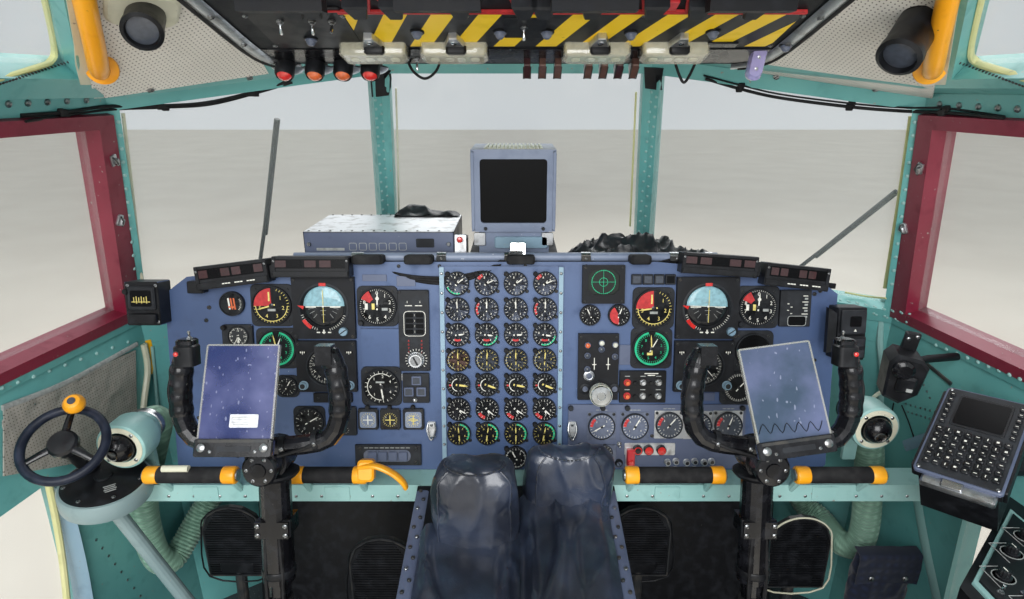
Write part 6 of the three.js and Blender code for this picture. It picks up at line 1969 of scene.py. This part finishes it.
console = Piece("side_console_panels")
for outline in ([(736, -92), (736, -196), (940, -196), (940, 96)],
        [(736, -204), (736, -414), (940, -414), (940, -204)]):
    cx, cy = (sum(p[k] for p in outline) / 4 for k in (0, 1))
    console.add(plate(outline, 799.6, 805, 2), TEAL_PALE)
    inner = [(cx + (x - cx) * 0.9, cy + (y - cy) * 0.9) for x, y in outline]
    console.add(plate(inner, 804, 809, 1.5), SATIN_BLACK)
for x, y in ((790, -86), (846, -30), (790, -150), (846, -110), (900, -150), (900, -60), (900, 10),
        (780, -260), (850, -260), (910, -300), (790, -340), (860, -360)):
    here = shift(x, y, 809)
    console.add(lathe([(17, 0), (17, 0.7), (15.4, 0.7), (15.4, 0)], 28), MARK_DIM, here)
    knob(console, here, 18, 15, PHENOLIC, 14, skirt=3)
    console.add(block(1.6, 9, 14.6, 15.6, 0, 0), MARK, here)
    console.add(tube([here @ Vector(p) for p in ((-22, -24, 0.4), (-22, 24, 0.4), (8, 24, 0.4))], 0.8, 6),
        MARK_DIM)
for x, y in ((818, -190), (872, -190), (760, -120), (925, -110), (820, -300), (880, -320)):
    toggle(console, shift(x, y, 809), 14, 15)
console.add(block(44, 20, 809, 813, 2, 1), FACE_GREY, shift(812, -128))
console.make("black_parts")

# %% [markdown]
# Two strips of quarter-turn fasteners close the pedestal's cheeks, and latches with a bent wire hold the
# lower corners of the engine panel.

# %% Pedestal strips, latches and small wiring
small = Piece("pedestal_strips_and_latches")
for side in (-1, 1):
    along = [(side * 197, y, pedestal_top(side * 197, y) + 0.5) for y in range(-342, 240, 20)]
    small.add(tube(along, 13, 8, flat=0.3, up=(0, 0, 1)), BLUE_GREY)
    for k in range(24):
        x, y, z = side * (192 + 9 * (k % 2)), -336 + 24 * k, pedestal_top(side * 197, -336 + 24 * k)
        knob(small, shift(x, y, z + 3), 8, 4, STEEL_DARK if k % 3 else STEEL, 8)
for px in (432, 572):
    point, normal = seen(px, 429, "instrument_panel", "lower_subpanel", "engine_panel")
    latch = frame_at(point, normal)
    small.add(block(18, 36, 0, 6, 3, 2), SILVER_PAINT, latch)
    small.add(tube(smooth_path([(-7, 16, 6), (-9, 0, 12), (0, -20, 15), (9, 0, 12), (7, 16, 6)]), 1.9, 8),
        STEEL, latch)
    small.screws(latch, 7, 6, [(0, 11)], STEEL)
point, normal = seen(402, 377, "instrument_panel")
small.add(block(26, 15, 0, 1, 1, 0.3), ALUMINIUM, frame_at(point, normal, turn=0.1))
small.make("black_metal")

# %% [markdown]
# The photograph shows nothing of the outside, so it follows what is usual there: flat lap straps with two
# rows of rivets where skin sheets meet, and a screwed retainer round every pane. Each point is looked for
# from outside towards the cab's middle, so the straps lie on the skin. Behind the picture the overhead
# panel has plain plates.


# %% Straps, retainers and rivets outside
SKINS = ("hull_wall_left", "hull_wall_right", "nose_wall", "windshield_frame", "roof_shell")


def skin_spot(goal, away):
    """The point and normal of the outer skin below a place, or None over an opening."""
    hits = [trees[name].ray_cast(goal + away * 200, -away) for name in SKINS]
    hits = [h for h in hits if h[0] and h[3] < 240]
    if hits:
        point, normal, _, _ = min(hits, key=lambda h: h[3])
        return point, normal if normal.dot(away) > 0 else -normal


def strap(piece, start, end, wide, pitch, head, away=None):
    """A flat strap on the skin from start to end, with fasteners along both edges, or one row where it is
    narrow."""
    start, end = Vector(start), Vector(end)
    count = max(2, round((end - start).length / pitch))
    spots = []
    for k in range(count + 1):
        goal = start.lerp(end, k / count)
        out = away or (goal - Vector((0, -100, min(goal.z, 1300)))).normalized()
        spots.append(skin_spot(goal, out))
    for first, second in zip(spots, spots[1:]):
        if first and second and (second[0] - first[0]).length < pitch * 1.5:
            piece.add(tube([first[0] + first[1] * 0.8, second[0] + second[1] * 0.8], wide / 2, 8,
                flat=3.6 / wide, up=first[1]), SKIN)
    for spot in spots:
        if spot:
            across = spot[1].cross(end - start).normalized()
            for side in (-0.3, 0.3) if wide > 30 else (0,):
                place = frame_at(spot[0] + spot[1] * 2.2 + across * wide * side, spot[1])
                piece.add(lathe([(head / 2, -0.6), (head * 0.42, head * 0.12), (head * 0.2, head * 0.2),
                    (0, head * 0.22)], 8), STEEL_DARK, place)


skin = Piece("outer_straps_and_rivets")
STRAPS = [((1085, -440, 225), (988, 605, 225)), ((968, 632, 225), (456, 1008, 225)),
    ((1084, -440, 975), (972, 555, 975)), ((950, 575, 975), (402, 925, 975)),
    ((1050, 330, 92), (1022, 330, 1000)), ((560, 930, 92), (520, 850, 1000)),
    ((984, 640, 95), (962, 580, 1000)), ((450, 1000, 95), (400, 912, 1000)),
    ((925, -430, 1535), (500, -430, 1940)), ((328, 640, 1646), (224, -40, 1925)),
    ((820, 330, 1580), (445, -110, 1925)), ((905, -400, 1560), (820, 360, 1565)),
    ((470, -90, 1926), (510, -440, 1938)), ((800, 385, 1560), (345, 655, 1640))]
for side in (-1, 1):
    for a, b in STRAPS:
        strap(skin, (side * a[0], *a[1:]), (side * b[0], *b[1:]), 36, 42, 8)
for a, b in (((-430, 1020, 225), (430, 1020, 225)), ((-380, 935, 975), (380, 935, 975)),
        ((0, 1018, 92), (0, 930, 1000)), ((-320, 668, 1636), (320, 668, 1636)),
        ((0, 660, 1640), (0, -40, 1928)), ((-430, -120, 1930), (430, -120, 1930)),
        ((0, -60, 1932), (0, -440, 1944))):
    strap(skin, a, b, 36, 42, 8)
PANES = [((1044, -302, 1076), (954, 474, 1076), (843, 341, 1500), (918, -323, 1493), 34),
    ((916, 559, 1071), (403, 885, 1079), (352, 667, 1606), (797, 403, 1535), 14),
    ((1045, -330, 330), (991, 225, 330), (982, 225, 790), (1045, -330, 790), 22),
    ((841, 640, 700), (660, 760, 700), (640, 760, 900), (815, 640, 900), 20),
    ((835, -338, 1604), (769, 219, 1607), (599, -39, 1781), (647, -373, 1785), 22),
    ((349, 900, 1079), (-349, 900, 1079), (-300, 682, 1610), (300, 682, 1610), 14)]
for side in (-1, 1):
    for *corners, proud in PANES if side > 0 else PANES[:-1]:
        corners = [Vector((side * x, y, z)) for x, y, z in corners]
        middle = sum(corners, Vector()) / 4
        out = (corners[1] - corners[0]).cross(corners[3] - corners[0]).normalized()
        out = out if out.dot(middle - Vector((0, -100, 1100))) > 0 else -out
        corners = [p + (p - middle).normalized() * proud * 1.4 for p in corners]
        for p, q in zip(corners, corners[1:] + corners[:1]):
            strap(skin, p, q, 20, 48, 8, out)
skin.make("skin")

# %% Plates overhead
aft = Piece("overhead_aft_plates")
for column in range(3):
    for row in range(2):
        here = OVER @ shift(-262 + 262 * column, 352 + 168 * row)
        aft.add(block(244, 152, -0.5, 4, 5, 1.2), CASE_GREY, here)
        for x in (-112, 112):
            aft.screws(here, 7, 4, [(x, y) for y in (-66, 66)], STEEL)
        for k in range(8):
            place = here @ shift(-78 + 52 * (k % 4), 30 - 62 * (k // 4), 4)
            if (row + column) % 2:
                toggle(aft, place, 15, 18 if k % 3 else -16)
            else:
                knob(aft, place, 20, 16, PHENOLIC, 12, skirt=3)
            aft.put(place, (MARK_DIM, 0, 19, 26, 1.4, 0, 0.6, 0, 0))
aft.make("black_parts")

# %% [markdown]
# The floor under the part is a plain pale sheet, wide enough to reach the horizon through the panes. It isn't
# part of the object.

# %% Floor
FLOOR_M = 60
plain = finish("floor_plain", "#e0d9cc", 0.9)
set_colour(plain, tint(plain.node_tree, blotches(plain.node_tree, 900, 0.3, 0.7), "#e0d9cc", "#d7cfc2"))
sheet_mesh = bpy.data.meshes.new("floor")
sheet_mesh.from_pydata([(x, y, -0.002) for x, y in rounded(FLOOR_M, FLOOR_M)], [], [[0, 1, 2, 3]])
sheet_mesh.materials.append(plain)
floor = bpy.data.objects.new("floor", sheet_mesh)
scene.collection.objects.link(floor)
print("floor", FLOOR_M, "m wide")
